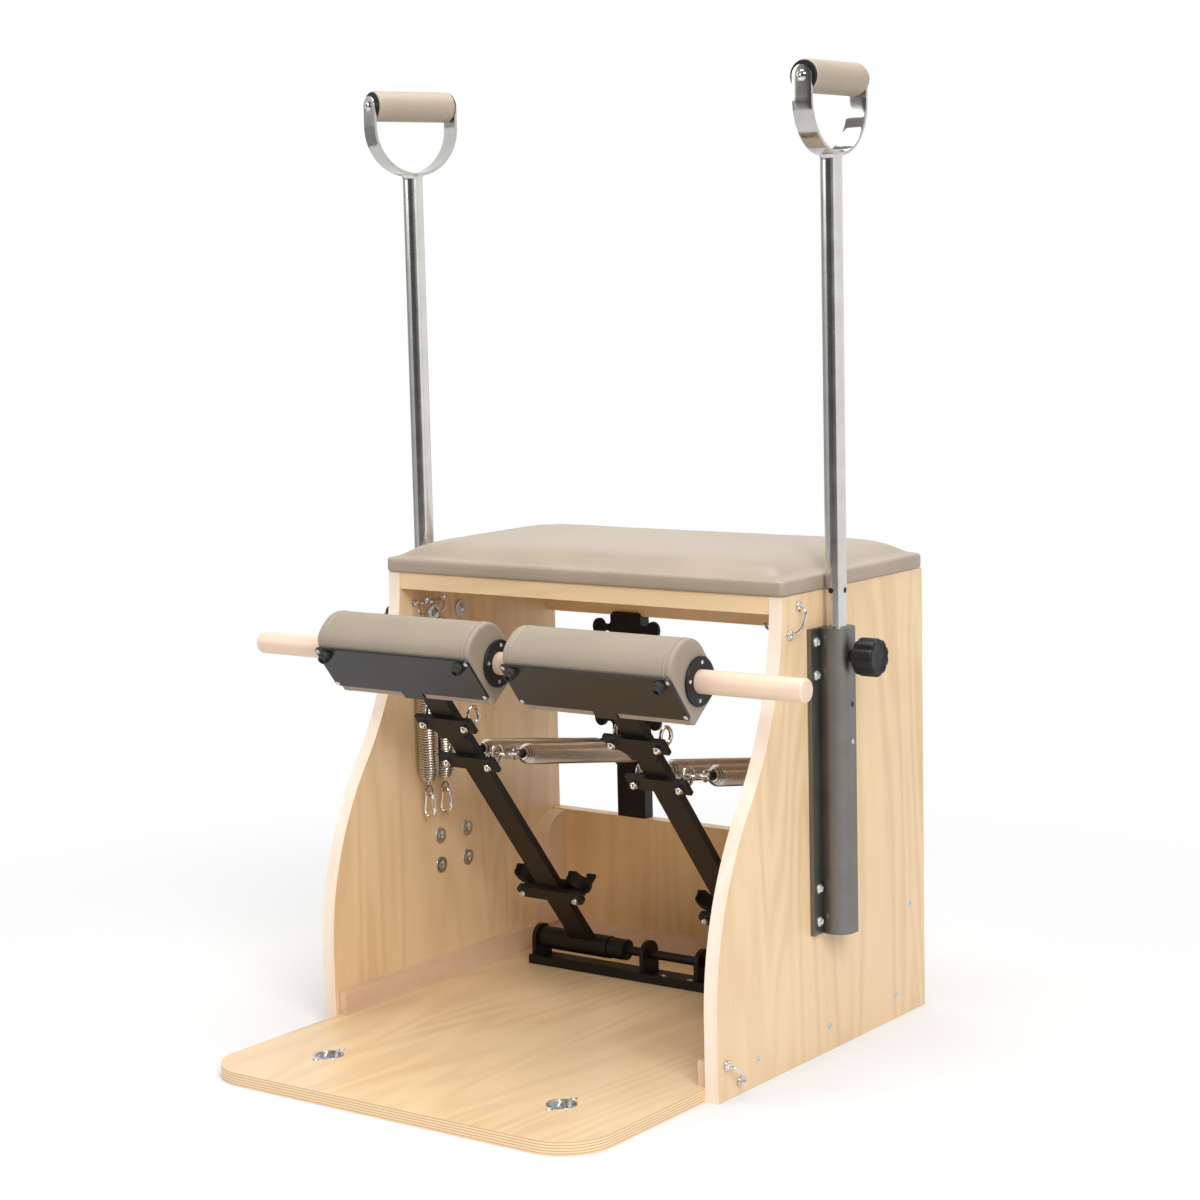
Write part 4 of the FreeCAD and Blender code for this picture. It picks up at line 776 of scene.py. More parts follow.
def snap_parts(long, wire):
    """A pear-shaped snap link: round wire round two arcs, with a sleeve over its gate on one side."""
    high, low = long - SNAP_WIDE, long - SNAP_WIDE - SNAP_APART
    path = np.vstack([arc((0, 0, high), SNAP_WIDE, -12, 192, 30, "xz"),
                      arc((0, 0, low), SNAP_NARROW, 200, 340, 22, "xz")])
    body = resample(np.vstack([path, path[:1]]), 97)[:-1]
    gate = path[0] + np.array([[0.15], [0.2], [0.75], [0.8]]) * (path[-1] - path[0])
    return [(sweep(body, wire, (0, 1, 0), 10, True), True),
            (sweep(gate, np.array([0.6, 1.25, 1.25, 0.6]) * wire, (0, 1, 0), 12), False)]


def hang(skin, parts, lean, spot):
    """Adds parts that lie along Z, turned about X to a lean and moved to a spot."""
    for grid, closed in parts:
        skin.add(turn(grid, "x", lean) + spot, closed)


def hang_pair(parts, lean, side):
    """A skin with the parts at both working springs of one side."""
    skin = Skin()
    for offset in (-EYE_X, EYE_X):
        hang(skin, parts, lean, SPRING_REAR + (side * PEDAL_X + offset, 0, 0))
    return skin


def make_springs(sizes):
    """Two working springs a side; each stretches between its post and its link."""
    long, lean = spring_line()
    parts = spring_parts(long, sizes.coil_turns, sizes.coil_wire / MM)
    begin, end = (turn((0, 0, z), "x", lean) + SPRING_REAR for z in (COIL_REAR, long - COIL_FRONT))
    for name, side in SIDES.items():
        piece = hang_pair(parts, lean, side).build(f"coils_{name}", "spring_steel")
        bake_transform(piece)
        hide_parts(f"springs_{name}")


def make_spares(sizes):
    """Two spare springs with their links, hung on wire pegs inside the left panel."""
    coils = spring_parts(SPARE_LONG, sizes.spare_turns, sizes.coil_wire / MM)
    snaps = snap_parts(SPARE_LONG, sizes.snap_wire / MM)
    springs, links, pegs = Skin(), Skin(), Skin()
    for y in SPARE_Y:
        spot = np.array([SPARE_X, y, SPARE_TOP])
        hang(springs, coils, math.pi, spot)
        hang(links, snaps, math.pi, spot)
    peg = np.array([(4, 0, 0), (-10, 0, 0), (-18, 0, 0), (-21, 0, 0.8), (-22.3, 0, 3), (-22.5, 0, 7)])
    rose = [(5.5, 0), (5.5, 1.2), (4.6, 1.8), (2.2, 2.0)]
    for side in BOTH:
        for y in SPARE_Y:
            pegs.add(sweep((peg + (INNER, y, PEG_UP)) * (side, 1, 1), PEG_WIRE, (0, 1, 0)))
            pegs.add(lathe(rose, (side * INNER, y, PEG_UP), "x", -side))
    settle(springs.build("spare_coils", "spring_steel"), "frame", "spring_steel", "spare_springs")
    settle(links.build("spare_links", "chrome"), "frame", "chrome", "spare_snaps")
    settle(pegs.build("spare_pegs", "chrome"), "frame", "chrome", "spare_hangers")


def make_links(sizes):
    """The snap links between the working springs and the eye bolts."""
    long, lean = spring_line()
    parts = snap_parts(long, sizes.snap_wire / MM)
    for name, side in SIDES.items():
        piece = hang_pair(parts, lean, side).build(f"links_{name}", "chrome")
        settle(piece, f"snap_{name}", "chrome", f"snaps_{name}")


def make_eye_bolts():
    """Eye bolts: a round ring with a collar behind the cross plate and an acorn nut before it."""
    dome = np.linspace(0, np.pi / 2, 8)
    acorn = np.vstack([[(4.2, 0), (5.4, 0.5), (5.4, 4.2), (4.6, 4.9)],
                       np.stack([4.1 * np.cos(dome) + 0.02, 4.9 + 3.9 * np.sin(dome)], 1)])
    collar = [(6.4, 0), (6.4, 1.4), (5.2, 2.0), (3.4, 2.6)]
    radius, wire = 10.5, 2.5
    for name, side in SIDES.items():
        skin = Skin()
        for level in EYE_LEVELS:
            for x in (-EYE_X, EYE_X):
                ring = sweep(arc((x, EYE_BACK, level), radius, 0, 360, 41)[:-1], wire, (1, 0, 0), 12, True)
                skin.add(on_pedal(ring, side), True)
                skin.add(on_pedal(lathe(collar, (x, CROSS_REAR, level), "y", 1), side))
                skin.add(on_pedal(lathe(acorn, (x, CROSS_FRONT, level), "y", -1, 24), side))
        settle(skin.build(f"eyes_{name}", "chrome"), f"pedal_{name}", "chrome", f"eye_bolts_{name}")


# Fittings

BOLT_LEVELS, BOLT_APART, BOLT_OUT = (168.0, 208.0, 466.0, 506.0), 28.0, 306.0
BRACKET_SCREW_UP, BRACKET_HOLE_UP, POLE_HOLE_UP = 385.0, 430.0, 566.0
KNOB_UP = centre_of("lock_knob_right")[2]
# Screws on the side panels: the share of the panel's depth, and the height.
PANEL_SCREWS = ((0.92, 140.7), (0.845, 31.0), (0.51, 31.0), (0.175, 31.0))
CHANNEL_SCREW_X, CHANNEL_TOP, FLOOR_SCREW_OUT = 21.6, 21.0, 23.0
# Radius and height of the heads.
WOOD_SCREW, BOLT_HEAD, BOLT_END, SMALL_SCREW = (4.5, 1.8), (6.5, 3.9), (5.6, 2.2), (3.2, 1.4)
PLATE_SCREW, DISC_SCREW, GRIP_SCREW, BAIL_SCREW = (3.1, 1.5), (2.4, 1.1), (6.5, 3.6), (4.4, 2.0)


def screw(at, along, way, size, cross=True, rings=13, around=48):
    """A domed head as a height over radius and angle: a parabola, less a crossed or six-sided recess."""
    radius, tall = size
    share = np.linspace(0.02, 1, rings)[:, None]
    angle = np.linspace(0, 2 * np.pi, around, endpoint=False)[None, :]
    height = tall * (1 - 0.75 * share ** 2.2) * np.ones_like(angle)
    x, y = share * np.cos(angle), share * np.sin(angle)
    if cross:
        slot = np.minimum(np.abs(x), np.abs(y)) * 9 + np.clip((share - 0.6) * 12, 0, 9)
    else:
        flats = [np.abs(x * np.cos(spin) + y * np.sin(spin)) for spin in np.radians((0, 60, 120))]
        slot = np.clip((np.max(flats, axis=0) - 0.34) * 14, 0, 9)
    height = height - 0.62 * tall * np.clip(1 - np.maximum(slot - 0.8, 0), 0, 1)
    first, second, third = AXES[along]
    grid = np.empty((rings + 1, around, 3))
    grid[:-1, :, first], grid[:-1, :, second], grid[:-1, :, third] = radius * x, radius * y, way * height
    grid[-1] = grid[-2]
    grid[-1, :, third] = 0.0
    return grid + np.array(at, float)


def make_frame_screws():
    """Cross-head screws on the panels, by the floor eyes, on the pivot channel and on the hook plates."""
    skin = Skin()
    for side in BOTH:
        for back, up in PANEL_SCREWS:
            skin.add(screw((side * HALF, FRONT + PANEL_DEEP * back, up), "x", side, WOOD_SCREW))
        for way in BOTH:
            spot = side * FLOOR_EYE_X, FLOOR_EYE_Y + way * FLOOR_SCREW_OUT, BASE_TOP
            skin.add(screw(spot, "z", 1, WOOD_SCREW))
        skin.add(screw((side * CHANNEL_SCREW_X, PIVOT[1], CHANNEL_TOP), "z", 1, WOOD_SCREW))
        for step in (0.5, 3.5):
            skin.add(screw((side * PEDAL_X, HOOK_FRONT, HOOK_LOW + HOOK_PITCH * step), "y", -1, WOOD_SCREW))
    settle(skin.build("wood_screws", "zinc"), "frame", "screw_steel", "frame_screws")


def make_bracket_bolts():
    """Button-head bolts on the pole brackets, with broad washers and their ends inside the panels."""
    bolts, holes = Skin(), Skin()
    washer = [(4.0, 0), (10.4, 0), (11.0, 0.5), (11.0, 1.5), (10.4, 2.0), (4.0, 2.0)]
    # A dark disc proud of each bracket's hole: painted shade of the hole.
    hole = [(3.4, -1.0), (3.4, 0.12), (3.0, 0.15)]
    for side in BOTH:
        for y in (POLE[1] - BOLT_APART, POLE[1] + BOLT_APART):
            for z in BOLT_LEVELS:
                bolts.add(screw((side * BOLT_OUT, y, z), "x", side, BOLT_HEAD, False))
                bolts.add(lathe(washer, (side * INNER, y, z), "x", -side, 36))
                bolts.add(screw((side * (INNER - 1.5), y, z), "x", -side, BOLT_END))
        bolts.add(screw((side * BRACKET_FACE, POLE[1], BRACKET_SCREW_UP), "x", side, SMALL_SCREW))
        holes.add(lathe(hole, (side * BRACKET_FACE, POLE[1], BRACKET_HOLE_UP), "x", side))
    settle(bolts.build("bolts", "zinc"), "frame", "screw_steel", "bracket_bolts")
    settle(holes.build("bracket_holes", "black_plastic"), "frame", "black_plastic")


def make_step_fittings():
    """Rubber bumpers and corner screws on each sole plate, and the end discs with their four screws."""
    foot = [(8.0, 0), (8.0, 1.2), (7.4, 1.6), (7.4, 6.5), (7.0, 7.2), (6.2, 7.6), (6.0, 10.6), (5.4, 11.6),
            (4.4, 12.0), (3.4, 11.9), (3.0, 11.2), (2.9, 6.5)]
    ring = [(14.6, 0), (28.2, 0), (29.0, 0.6), (29.0, 2.2), (28.2, 3.0), (15.4, 3.0), (14.6, 2.4)]
    foot_x, foot_up, disc_thick, disc_circle = 105.5, 578.0, 3.0, 22.0
    screw_x, screw_levels = 117.0, (525.5, 582.5)
    for name, side in SIDES.items():
        feet, screws, discs = Skin(), Skin(), Skin()
        for x in BOTH:
            feet.add(on_pedal(lathe(foot, (x * foot_x, PLATE_FACE, foot_up), "y", -1, 32), side))
            discs.add(on_pedal(lathe(ring, (x * PAD_HALF, *DOWEL_AT), "x", x, 56), side), True)
            for z in screw_levels:
                screws.add(on_pedal(screw((x * screw_x, PLATE_FACE, z), "y", -1, PLATE_SCREW, False), side))
            for spin in np.radians((45, 135, 225, 315)):
                y, z = DOWEL_AT + (disc_circle * math.cos(spin), disc_circle * math.sin(spin))
                screws.add(on_pedal(screw((x * (PAD_HALF + disc_thick), y, z), "x", x, DISC_SCREW), side))
        body = f"pedal_{name}"
        settle(feet.build(f"step_feet_{name}", "black_rubber"), body, "rubber", f"pedal_bumpers_{name}")
        settle(screws.build(f"step_screws_{name}", "zinc"), body, "screw_steel", f"plate_screws_{name}")
        settle(discs.build(f"end_discs_{name}", "black_plastic"), body, "black_plastic", f"pad_discs_{name}")


def lobed_plate():
    """Half outline of a hook plate: straight edges, and five necks that swell to ellipses for the springs."""
    edge, neck, neck_half, lobe_x, lobe_wide, lobe_tall = 25.0, 30.0, 9.5, 44.8, 10.2, 12.0
    fillet, chamfer, low, high = neck - edge, edge - 5.0, 274.0, 485.0
    lobe = np.radians(np.linspace(-156, 156, 33))
    bow = np.radians(np.linspace(0, 90, 7))
    steps = [np.array([(chamfer, low), (edge, low + 5.0)])]
    for level in HOOK_LOW + HOOK_PITCH * np.arange(HOOK_COUNT):
        lower = np.stack([neck - fillet * np.cos(bow), level - neck_half + fillet * np.sin(bow)], 1)
        head = np.stack([lobe_x + lobe_wide * np.cos(lobe), level + lobe_tall * np.sin(lobe)], 1)
        steps += [lower, head, np.stack([lower[::-1, 0], 2 * level - lower[::-1, 1]], 1)]
    steps.append(np.array([(edge, high - 5.0), (chamfer, high)]))
    return np.vstack(steps)


def make_hook_plates():
    """The lobed plates: the outline carried through the thickness, drawn in a little at both faces."""
    half, bevel = lobed_plate(), 0.7
    outline = np.vstack([half, half[::-1] * (-1, 1)])
    small = outline + inward_of(outline) * bevel
    levels = ((HOOK_FRONT, small), (HOOK_FRONT + bevel, outline), (HOOK_REAR - bevel, outline),
              (HOOK_REAR, small))
    skin = Skin()
    for side in BOTH:
        skin.add(np.array([np.stack([side * PEDAL_X + line[:, 0], np.full(len(line), y), line[:, 1]], 1)
                           for y, line in levels]))
    settle(skin.build("post_hooks", "black_steel"), "frame", "black_steel", "hook_plates")


def make_knobs(sizes):
    """The lock knobs: a stem, then a turned body whose radius dips by a raised cosine at each flute."""
    profile = [(7.0, 0), (7.0, 9.5), (12.0, 10.0), (19.5, 10.2), (21.8, 11.4), (22.9, 13.5), (23.0, 16),
               (23.0, 33), (22.6, 35.6), (21.2, 37.3), (19.0, 38.0), (17.6, 37.8), (16.8, 36.6), (15.6, 36.0),
               (6.0, 36.3), (0.4, 36.4)]
    deep = np.interp(np.arange(len(profile)), (0, 3, 5, 8, 10, 11), (0, 0, 1, 1, 0.5, 0))[:, None]
    flute_depth, stand_off = 0.12, 0.4

    def dips(angle):
        wave = (0.5 + 0.5 * np.cos(sizes.knob_flutes * angle)) ** 2.5
        return 1 - flute_depth * deep * wave[None, :]

    for name, side in SIDES.items():
        skin = Skin()
        skin.add(lathe(profile, (side * (BRACKET_FACE + stand_off), POLE[1], KNOB_UP), "x", side, 120, dips))
        piece = skin.build(f"knob_{name}_grip", "black_plastic")
        settle(piece, f"knob_{name}", "black_plastic", f"lock_knob_{name}")


# Handles

def tube_hole_shade(along):
    """A dark disc that paints the shade in a pole's hole, bent by the root of radius squared less offset
    squared.
    """
    radius, foot, top = 3.5, 2.6, 2.62
    profile = [(radius, 0), (radius, foot), (2.9, top), (2.2, top), (1.5, top), (0.8, top), (0.3, top)]
    grid = lathe(profile, (0, 0, POLE_HOLE_UP), along, -1, 24)
    axis = "xy".index(along)
    grid[..., axis] -= np.sqrt(POLE_RADIUS ** 2 - grid[..., 1 - axis] ** 2) - foot
    return grid


def handle_strap():
    """The strap: two legs and a half circle, with its width a chord of the round ends about the grip."""
    low, count = GRIP_AXIS - STRAP_LEG, 30
    bend = arc((0, 0, low), STRAP_RADIUS, 180, 360, 61, "xz")
    rise = np.linspace(0, STRAP_LEG + STRAP_HALF - 0.4, count)
    left = np.stack([np.full(count, -STRAP_RADIUS), np.zeros(count), low + rise[::-1]], 1)
    path = np.vstack([left[:-1], bend, left[-2::-1] * (-1, 1, 1)])
    above = np.clip(path[:, 2] - GRIP_AXIS, 0, STRAP_HALF - 0.1)
    return ribbon(path, (0, 1, 0), 2 * np.sqrt(STRAP_HALF ** 2 - above ** 2), STRAP_THICK)


def grip_cover():
    """The grip cover: a turned sleeve with rolled ends, and its UV along and round it."""
    end, count = GRIP_HALF + 4.5, 64
    lip = np.array([(GRIP_RADIUS, 3.4), (19.2, 2.0), (18.4, 0.7), (17.2, 0.0), (13.0, 0.0)])
    straight = np.stack([np.full(24, GRIP_RADIUS), np.linspace(4 - end, end - 4, 24)], 1)
    profile = np.vstack([lip[::-1] - (0, end), straight, lip * (1, -1) + (0, end)])
    grid = lathe(profile, (0, 0, GRIP_AXIS), "x", 1, count)
    around = np.linspace(0, 2 * np.pi * GRIP_RADIUS, count, endpoint=False)
    return grid, np.stack(np.broadcast_arrays(profile[:, 1:2], around), -1)


def make_handles():
    """Each handle: a turned pole, a strap bent to a U, a padded grip, its end caps and dome screws."""
    radius, low, top = POLE_RADIUS, POLE_LOW, POLE_TOP
    pole = lathe([(11.4, low), (radius, low + 1.2), (radius, low + 3), (radius, low + 10), (radius, top - 13),
                  (radius, top - 5), (radius, top - 3), (13.6, top), (15.5, top + 2.2), (11, top + 2.6)],
                 around=56)
    cap = np.array([(8.0, 3.5), (17.0, 3.5), (18.0, 4.4), (18.0, 5.4), (17.2, 6.0), (8.0, 6.0)])
    cap = lathe(cap + (0, GRIP_HALF), along="x", around=56)
    strap, (cover, cover_uv) = handle_strap(), grip_cover()
    for name in SIDES:
        poles, bows, covers, caps, domes, holes = (Skin() for _ in range(6))
        poles.add(on_handle(pole, name))
        bows.add(on_handle(strap, name))
        covers.add(on_handle(cover, name), uv=cover_uv)
        for way in BOTH:
            caps.add(on_handle(cap * (way, 1, 1) + (0, 0, GRIP_AXIS), name))
            spot = way * (STRAP_RADIUS + STRAP_THICK / 2), 0, GRIP_AXIS
            domes.add(on_handle(screw(spot, "x", way, GRIP_SCREW, False), name))
        # Dark discs in the pole's adjusting holes: painted shade of the holes.
        for along in "xy":
            holes.add(on_handle(tube_hole_shade(along), name))
        body = f"handle_{name}"
        settle(poles.build(f"handle_{name}_metal", "pole_steel"), body, "chrome", f"handle_pole_{name}")
        settle(bows.build(f"handle_{name}_strap", "strap_steel"), body, "chrome")
        piece = covers.build(f"grip_cover_{name}", "grip_vinyl")
        settle(piece, body, "grip_vinyl", f"hand_grip_{name}")
        settle(caps.build(f"grip_caps_{name}", "black_plastic"), body, "black_plastic", f"grip_ends_{name}")
        settle(domes.build(f"grip_domes_{name}", "chrome"), body, "screw_steel", f"grip_screws_{name}")
        settle(holes.build(f"pole_holes_{name}", "black_plastic"), body, "black_plastic")


# Hooks and eyes

HOOK_X, HOOK_UP, CUP_UP, CUP_FRONT = 43.0, 113.0, 128.0, 5.0
CUP_RADIUS, CUP_WIDE, CUP_THICK = 16.2, 21.0, 3.0
BAIL_HALF, BAIL_LIFT, BAIL_FOOT, BAIL_WIRE, EYELET, EYELET_WIRE = 19.0, 12.6, 2.2, 1.7, 4.6, 1.6
# Y and Z of each strap hook on a side panel, and its turn about X in degrees.
STRAP_HOOKS = ((58.1, 536.0, 57.0), (-86.3, 28.8, -44.0))


def make_hook_cups():
    """Spring clips low on each arm: a strip round an open arc that narrows to points, and its bolt."""
    share = np.linspace(0, 1, 49)
    wide = CUP_WIDE * np.clip(0.12 + np.minimum(share, 1 - share) / 0.2, 0, 1)
    bolt = [(4.4, 0), (4.6, 0.4), (4.6, 4.6), (4.0, 6.0), (2.6, 7.0), (0.3, 7.4)]
    for name, side in SIDES.items():
        cups, bolts = Skin(), Skin()
        for x in (-HOOK_X, HOOK_X):
            bow = arc((x, CUP_FRONT + CUP_WIDE / 2, CUP_UP), CUP_RADIUS, 150, 390, len(share), "xz")
            cups.add(on_pedal(ribbon(bow, (0, 1, 0), wide, CUP_THICK), side))
            bolts.add(on_pedal(lathe(bolt, (x, CROSS_FRONT, HOOK_UP), "y", -1, 24), side))
        body = f"pedal_{name}"
        settle(cups.build(f"hook_cups_{name}", "black_steel"), body, "black_steel")
        settle(bolts.build(f"hook_bolts_{name}", "zinc"), body, "screw_steel")


def make_strap_hooks():
    """Wire bails: a bow whose stand-off is a power of a half sine, from one eyelet to the other."""
    share = np.linspace(0, 1, 49)
    swing = np.sin(np.pi * share)
    out = BAIL_FOOT + BAIL_LIFT * swing ** 0.7
    along = BAIL_HALF * -np.cos(np.pi * share) * (1 + 0.10 * swing)
    bails, heads = Skin(), Skin()
    for side in BOTH:
        bow = sweep(np.stack([side * out, along * 0.86, np.zeros_like(share)], 1), BAIL_WIRE, (0, 0, 1))
        for y, z, angle in STRAP_HOOKS:
            lean, spot = math.radians(angle), (side * HALF, y, z)
            bails.add(turn(bow, "x", lean) + spot)
            for way in BOTH:
                ring = arc((side * BAIL_WIRE, way * BAIL_HALF, 0), EYELET, 0, 360, 33)[:-1]
                bails.add(turn(sweep(ring, EYELET_WIRE, (1, 0, 0), closed=True), "x", lean) + spot, True)
                head = screw((side * EYELET_WIRE, way * BAIL_HALF, 0), "x", side, BAIL_SCREW)
                heads.add(turn(head, "x", lean) + spot)
    settle(bails.build("strap_bails", "chrome"), "frame", "chrome", "strap_hooks")
    settle(heads.build("bail_screws", "zinc"), "frame", "screw_steel")


def make_floor_eyes():
    """Floor eyes: a dished cup with a rolled rim, and a low arch of round bar across it."""
    cup = [(0.6, 4.6), (13.4, 4.8), (14.4, 6.5), (14.8, 15.6), (15.2, 16.5), (16.6, 16.9), (18.0, 16.5),
           (18.2, 16.05), (15.7, 15.8), (15.6, 4.2), (0.6, 4.1)]
    arch_up, arch_radius, bar = 11.5, 7.5, 2.0
    skin = Skin()
    for side in BOTH:
        x, y = side * FLOOR_EYE_X, FLOOR_EYE_Y
        skin.add(lathe(cup, (x, y, 0), around=48))
        skin.add(sweep(arc((x, y, arch_up), arch_radius, -50, 230, 41), bar, (1, 0, 0), 12))
    settle(skin.build("floor_cups", "zinc"), "frame", "chrome", "floor_eyes")


# The stage

CAMERA_AT = (1.919394, -2.526150, 0.956866)
CAMERA_YAW, CAMERA_PITCH, CAMERA_ROLL = (math.radians(angle) for angle in (36.316, 7.327, -1.342))
CAMERA_LENS, CAMERA_SENSOR, CAMERA_FAR = 78.82, 36.0, 60.0
SOFT_LIGHT = 0.25
CEILING, CEILING_GREY = 5.0, 0.30
# Studio cards: the angles about the chair between which one stands, how far off and how tall, and its grey.
FLAGS = tuple((begin, end, 3.6, 5.0, grey) for begin, end, grey in
              ((-119, -90, 0.10), (-90, -60, 0.08), (-60, -33, 0.13)))
FLAGS += tuple((begin, end, away, tall, grey) for away, tall in ((3.6, 0.85), (14.0, 1.95))
               for begin, end, grey in ((97, 128, 0.6), (128, 165, 0.46), (165, 200, 0.36), (200, 239, 0.48)))
# Lamps: place, aim, width, power and tint.
LAMPS = {
    "key": ((2.8, -2.2, 2.6), (0, 0, 0.4), 2.2, 120, (0.99, 1.0, 1.02)),
    "fill": ((-2.6, -2.4, 2.2), (0, 0, 0.4), 2.4, 32, (1.0, 0.99, 0.98)),
    "top": ((0.0, 0.3, 3.4), (0, 0, 0.3), 2.6, 98, (1.0, 1.0, 1.0)),
}


def stand(name, data, right, up, back, at):
    """A camera or lamp with the given axes at a place."""
    thing = bpy.data.objects.new(name, data)
    bpy.context.scene.collection.objects.link(thing)
    turned = Matrix(np.stack([right, up, back], 1).tolist()).to_4x4()
    turned.translation = at
    thing.matrix_world = turned
    return thing


def make_camera():
    """The camera of the photograph: its axes from yaw, pitch down and roll."""
    right = np.array([math.cos(CAMERA_YAW), math.sin(CAMERA_YAW), 0.0])
    back = np.array([math.sin(CAMERA_YAW) * math.cos(CAMERA_PITCH),
                     -math.cos(CAMERA_YAW) * math.cos(CAMERA_PITCH), math.sin(CAMERA_PITCH)])
    up = np.cross(back, right)
    tilt, rise = math.cos(CAMERA_ROLL), math.sin(CAMERA_ROLL)
    lens = bpy.data.cameras.new("camera")
    lens.lens, lens.sensor_width, lens.clip_end = CAMERA_LENS, CAMERA_SENSOR, CAMERA_FAR
    bpy.context.scene.camera = stand("camera", lens, tilt * right + rise * up, tilt * up - rise * right, back,
                                     CAMERA_AT)


def make_lamp(name, at, target, size, power, tint):
    """A square lamp at a place, aimed at a target."""
    lamp = bpy.data.lights.new(name, "AREA")
    lamp.shape, lamp.size, lamp.energy, lamp.color = "SQUARE", size, power, tint
    back = np.array(at) - np.array(target)
    back = back / np.linalg.norm(back)
    right = np.cross((0, 0, 1), back)
    right = right / np.linalg.norm(right)
    stand(name, lamp, right, np.cross(back, right), back, at)


def seen_rays(tree):
    """1 for rays from the camera, from gloss and through glass, and 0 for the rest."""
    path = tree.nodes.new("ShaderNodeLightPath")
    total = path.outputs["Is Camera Ray"]
    for other in ("Is Glossy Ray", "Is Transmission Ray"):
        either = tree.nodes.new("ShaderNodeMath")
        either.operation = "MAXIMUM"
        tree.links.new(total, either.inputs[0])
        tree.links.new(path.outputs[other], either.inputs[1])
        total = either.outputs[0]
    return total


def make_world():
    """White to the camera and to gloss, and a soft even light to everything else."""
    world = bpy.data.worlds.new("studio")
    bpy.context.scene.world = world
    world.use_nodes = True
    tree = world.node_tree
    soft = tree.nodes["Background"]
    soft.inputs["Color"].default_value = (1.0, 0.99, 0.98, 1)
    soft.inputs["Strength"].default_value = SOFT_LIGHT
    white = tree.nodes.new("ShaderNodeBackground")
    white.inputs["Color"].default_value = (1, 1, 1, 1)
    mixed = tree.nodes.new("ShaderNodeMixShader")
    for out, into in zip((seen_rays(tree), soft.outputs[0], white.outputs[0]), mixed.inputs):
        tree.links.new(out, into)
    tree.links.new(mixed.outputs[0], tree.nodes["World Output"].inputs["Surface"])


def flat_mesh(name, corners):
    """A single four-sided face."""
    mesh = bpy.data.meshes.new(name)
    mesh.from_pydata(corners, [], [(0, 1, 2, 3)])
    thing = bpy.data.objects.new(name, mesh)
    bpy.context.scene.collection.objects.link(thing)
    return thing


def square(half, z):
    """Corners of a level square about the Z axis."""
    return [(-half, -half, z), (half, -half, z), (half, half, z), (-half, half, z)]


def make_floor(half=14.0, keep=0.75, near=0.7, far=1.6):
    """A pale floor that shows the chair's shadow near it and passes into the white background further out."""
    floor = flat_mesh("floor", square(half, 0))
    made = Finish("floor_white", (0.80, 0.80, 0.80), 0.9)
    made.set(Specular_IOR_Level=0.0)
    away = made.node("ShaderNodeVectorMath", operation="LENGTH")
    made.link(made.place(), away.inputs[0])
    fade = made.node("ShaderNodeMapRange", From_Min=near, From_Max=far, To_Min=1 - keep, To_Max=1.0,
                     interpolation_type="SMOOTHSTEP")
    made.link(away.outputs["Value"], fade.inputs["Value"])
    white = made.node("ShaderNodeEmission", Color=(1, 1, 1, 1), Strength=1.0)
    mixed = made.node("ShaderNodeMixShader")
    share = made.math("MULTIPLY", seen_rays(made.tree), fade.outputs["Result"])
    for out, into in zip((share, made.shader.outputs[0], white.outputs[0]), mixed.inputs):
        made.link(out, into)
    made.show(mixed)
    floor.data.materials.append(made.material)


def make_card(name, corners, grey):
    """A card of one grey that only gloss sees."""
    card = flat_mesh(name, corners)
    made = Finish(name, (grey, grey, grey), 0.9)
    made.show(made.node("ShaderNodeEmission", Color=(grey, grey, grey, 1), Strength=1.0))
    card.data.materials.append(made.material)
    card.visible_camera = card.visible_diffuse = card.visible_shadow = card.visible_transmission = False


def make_flags():
    """Dark and grey studio cards that only gloss sees, so that polished metal has a room to reflect."""
    for row, (begin, end, away, tall, grey) in enumerate(FLAGS):
        corners = [(away * math.cos(math.radians(angle)), away * math.sin(math.radians(angle)), z)
                   for angle, z in ((begin, 0.0), (end, 0.0), (end, tall), (begin, tall))]
        make_card(f"flag_{row}", corners, grey)
    make_card("ceiling", square(CEILING, CEILING), CEILING_GREY)


def make_stage():
    """The camera, the white world, the floor, the studio cards and the lamps."""
    make_camera()
    make_world()
    make_floor()
    make_flags()
    for name, setting in LAMPS.items():
        make_lamp(name, *setting)
    bpy.context.scene.view_settings.view_transform = "Standard"


# Operators

class CHAIR_OT_finishes(bpy.types.Operator):
    """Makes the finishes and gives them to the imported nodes"""
    bl_idname = "chair.finishes"
    bl_label = "Finishes"

    def execute(self, context):
        make_finishes(context.scene.chair_colours)
        finish_nodes()
        return {"FINISHED"}


class CHAIR_OT_seat(bpy.types.Operator):
    """Covers the seat"""
    bl_idname = "chair.seat"
    bl_label = "Seat cover"

    def execute(self, context):
        make_seat(context.scene.chair_sizes)
        return {"FINISHED"}


class CHAIR_OT_pads(bpy.types.Operator):
    """Covers the two steps"""
    bl_idname = "chair.pads"
    bl_label = "Step covers"

    def execute(self, context):
        make_pads(context.scene.chair_sizes)
        return {"FINISHED"}


class CHAIR_OT_dowel(bpy.types.Operator):
    """Turns the connecting dowel"""
    bl_idname = "chair.dowel"
    bl_label = "Connecting dowel"

    def execute(self, context):
        make_dowel()
        return {"FINISHED"}


class CHAIR_OT_springs(bpy.types.Operator):
    """Winds the working springs"""
    bl_idname = "chair.springs"
    bl_label = "Working springs"

    def execute(self, context):
        make_springs(context.scene.chair_sizes)
        return {"FINISHED"}


class CHAIR_OT_spares(bpy.types.Operator):
    """Hangs the spare springs"""
    bl_idname = "chair.spares"
    bl_label = "Spare springs"

    def execute(self, context):
        make_spares(context.scene.chair_sizes)
        return {"FINISHED"}


class CHAIR_OT_links(bpy.types.Operator):
    """Bends the snap links"""
    bl_idname = "chair.links"
    bl_label = "Snap links"

    def execute(self, context):
        make_links(context.scene.chair_sizes)
        return {"FINISHED"}


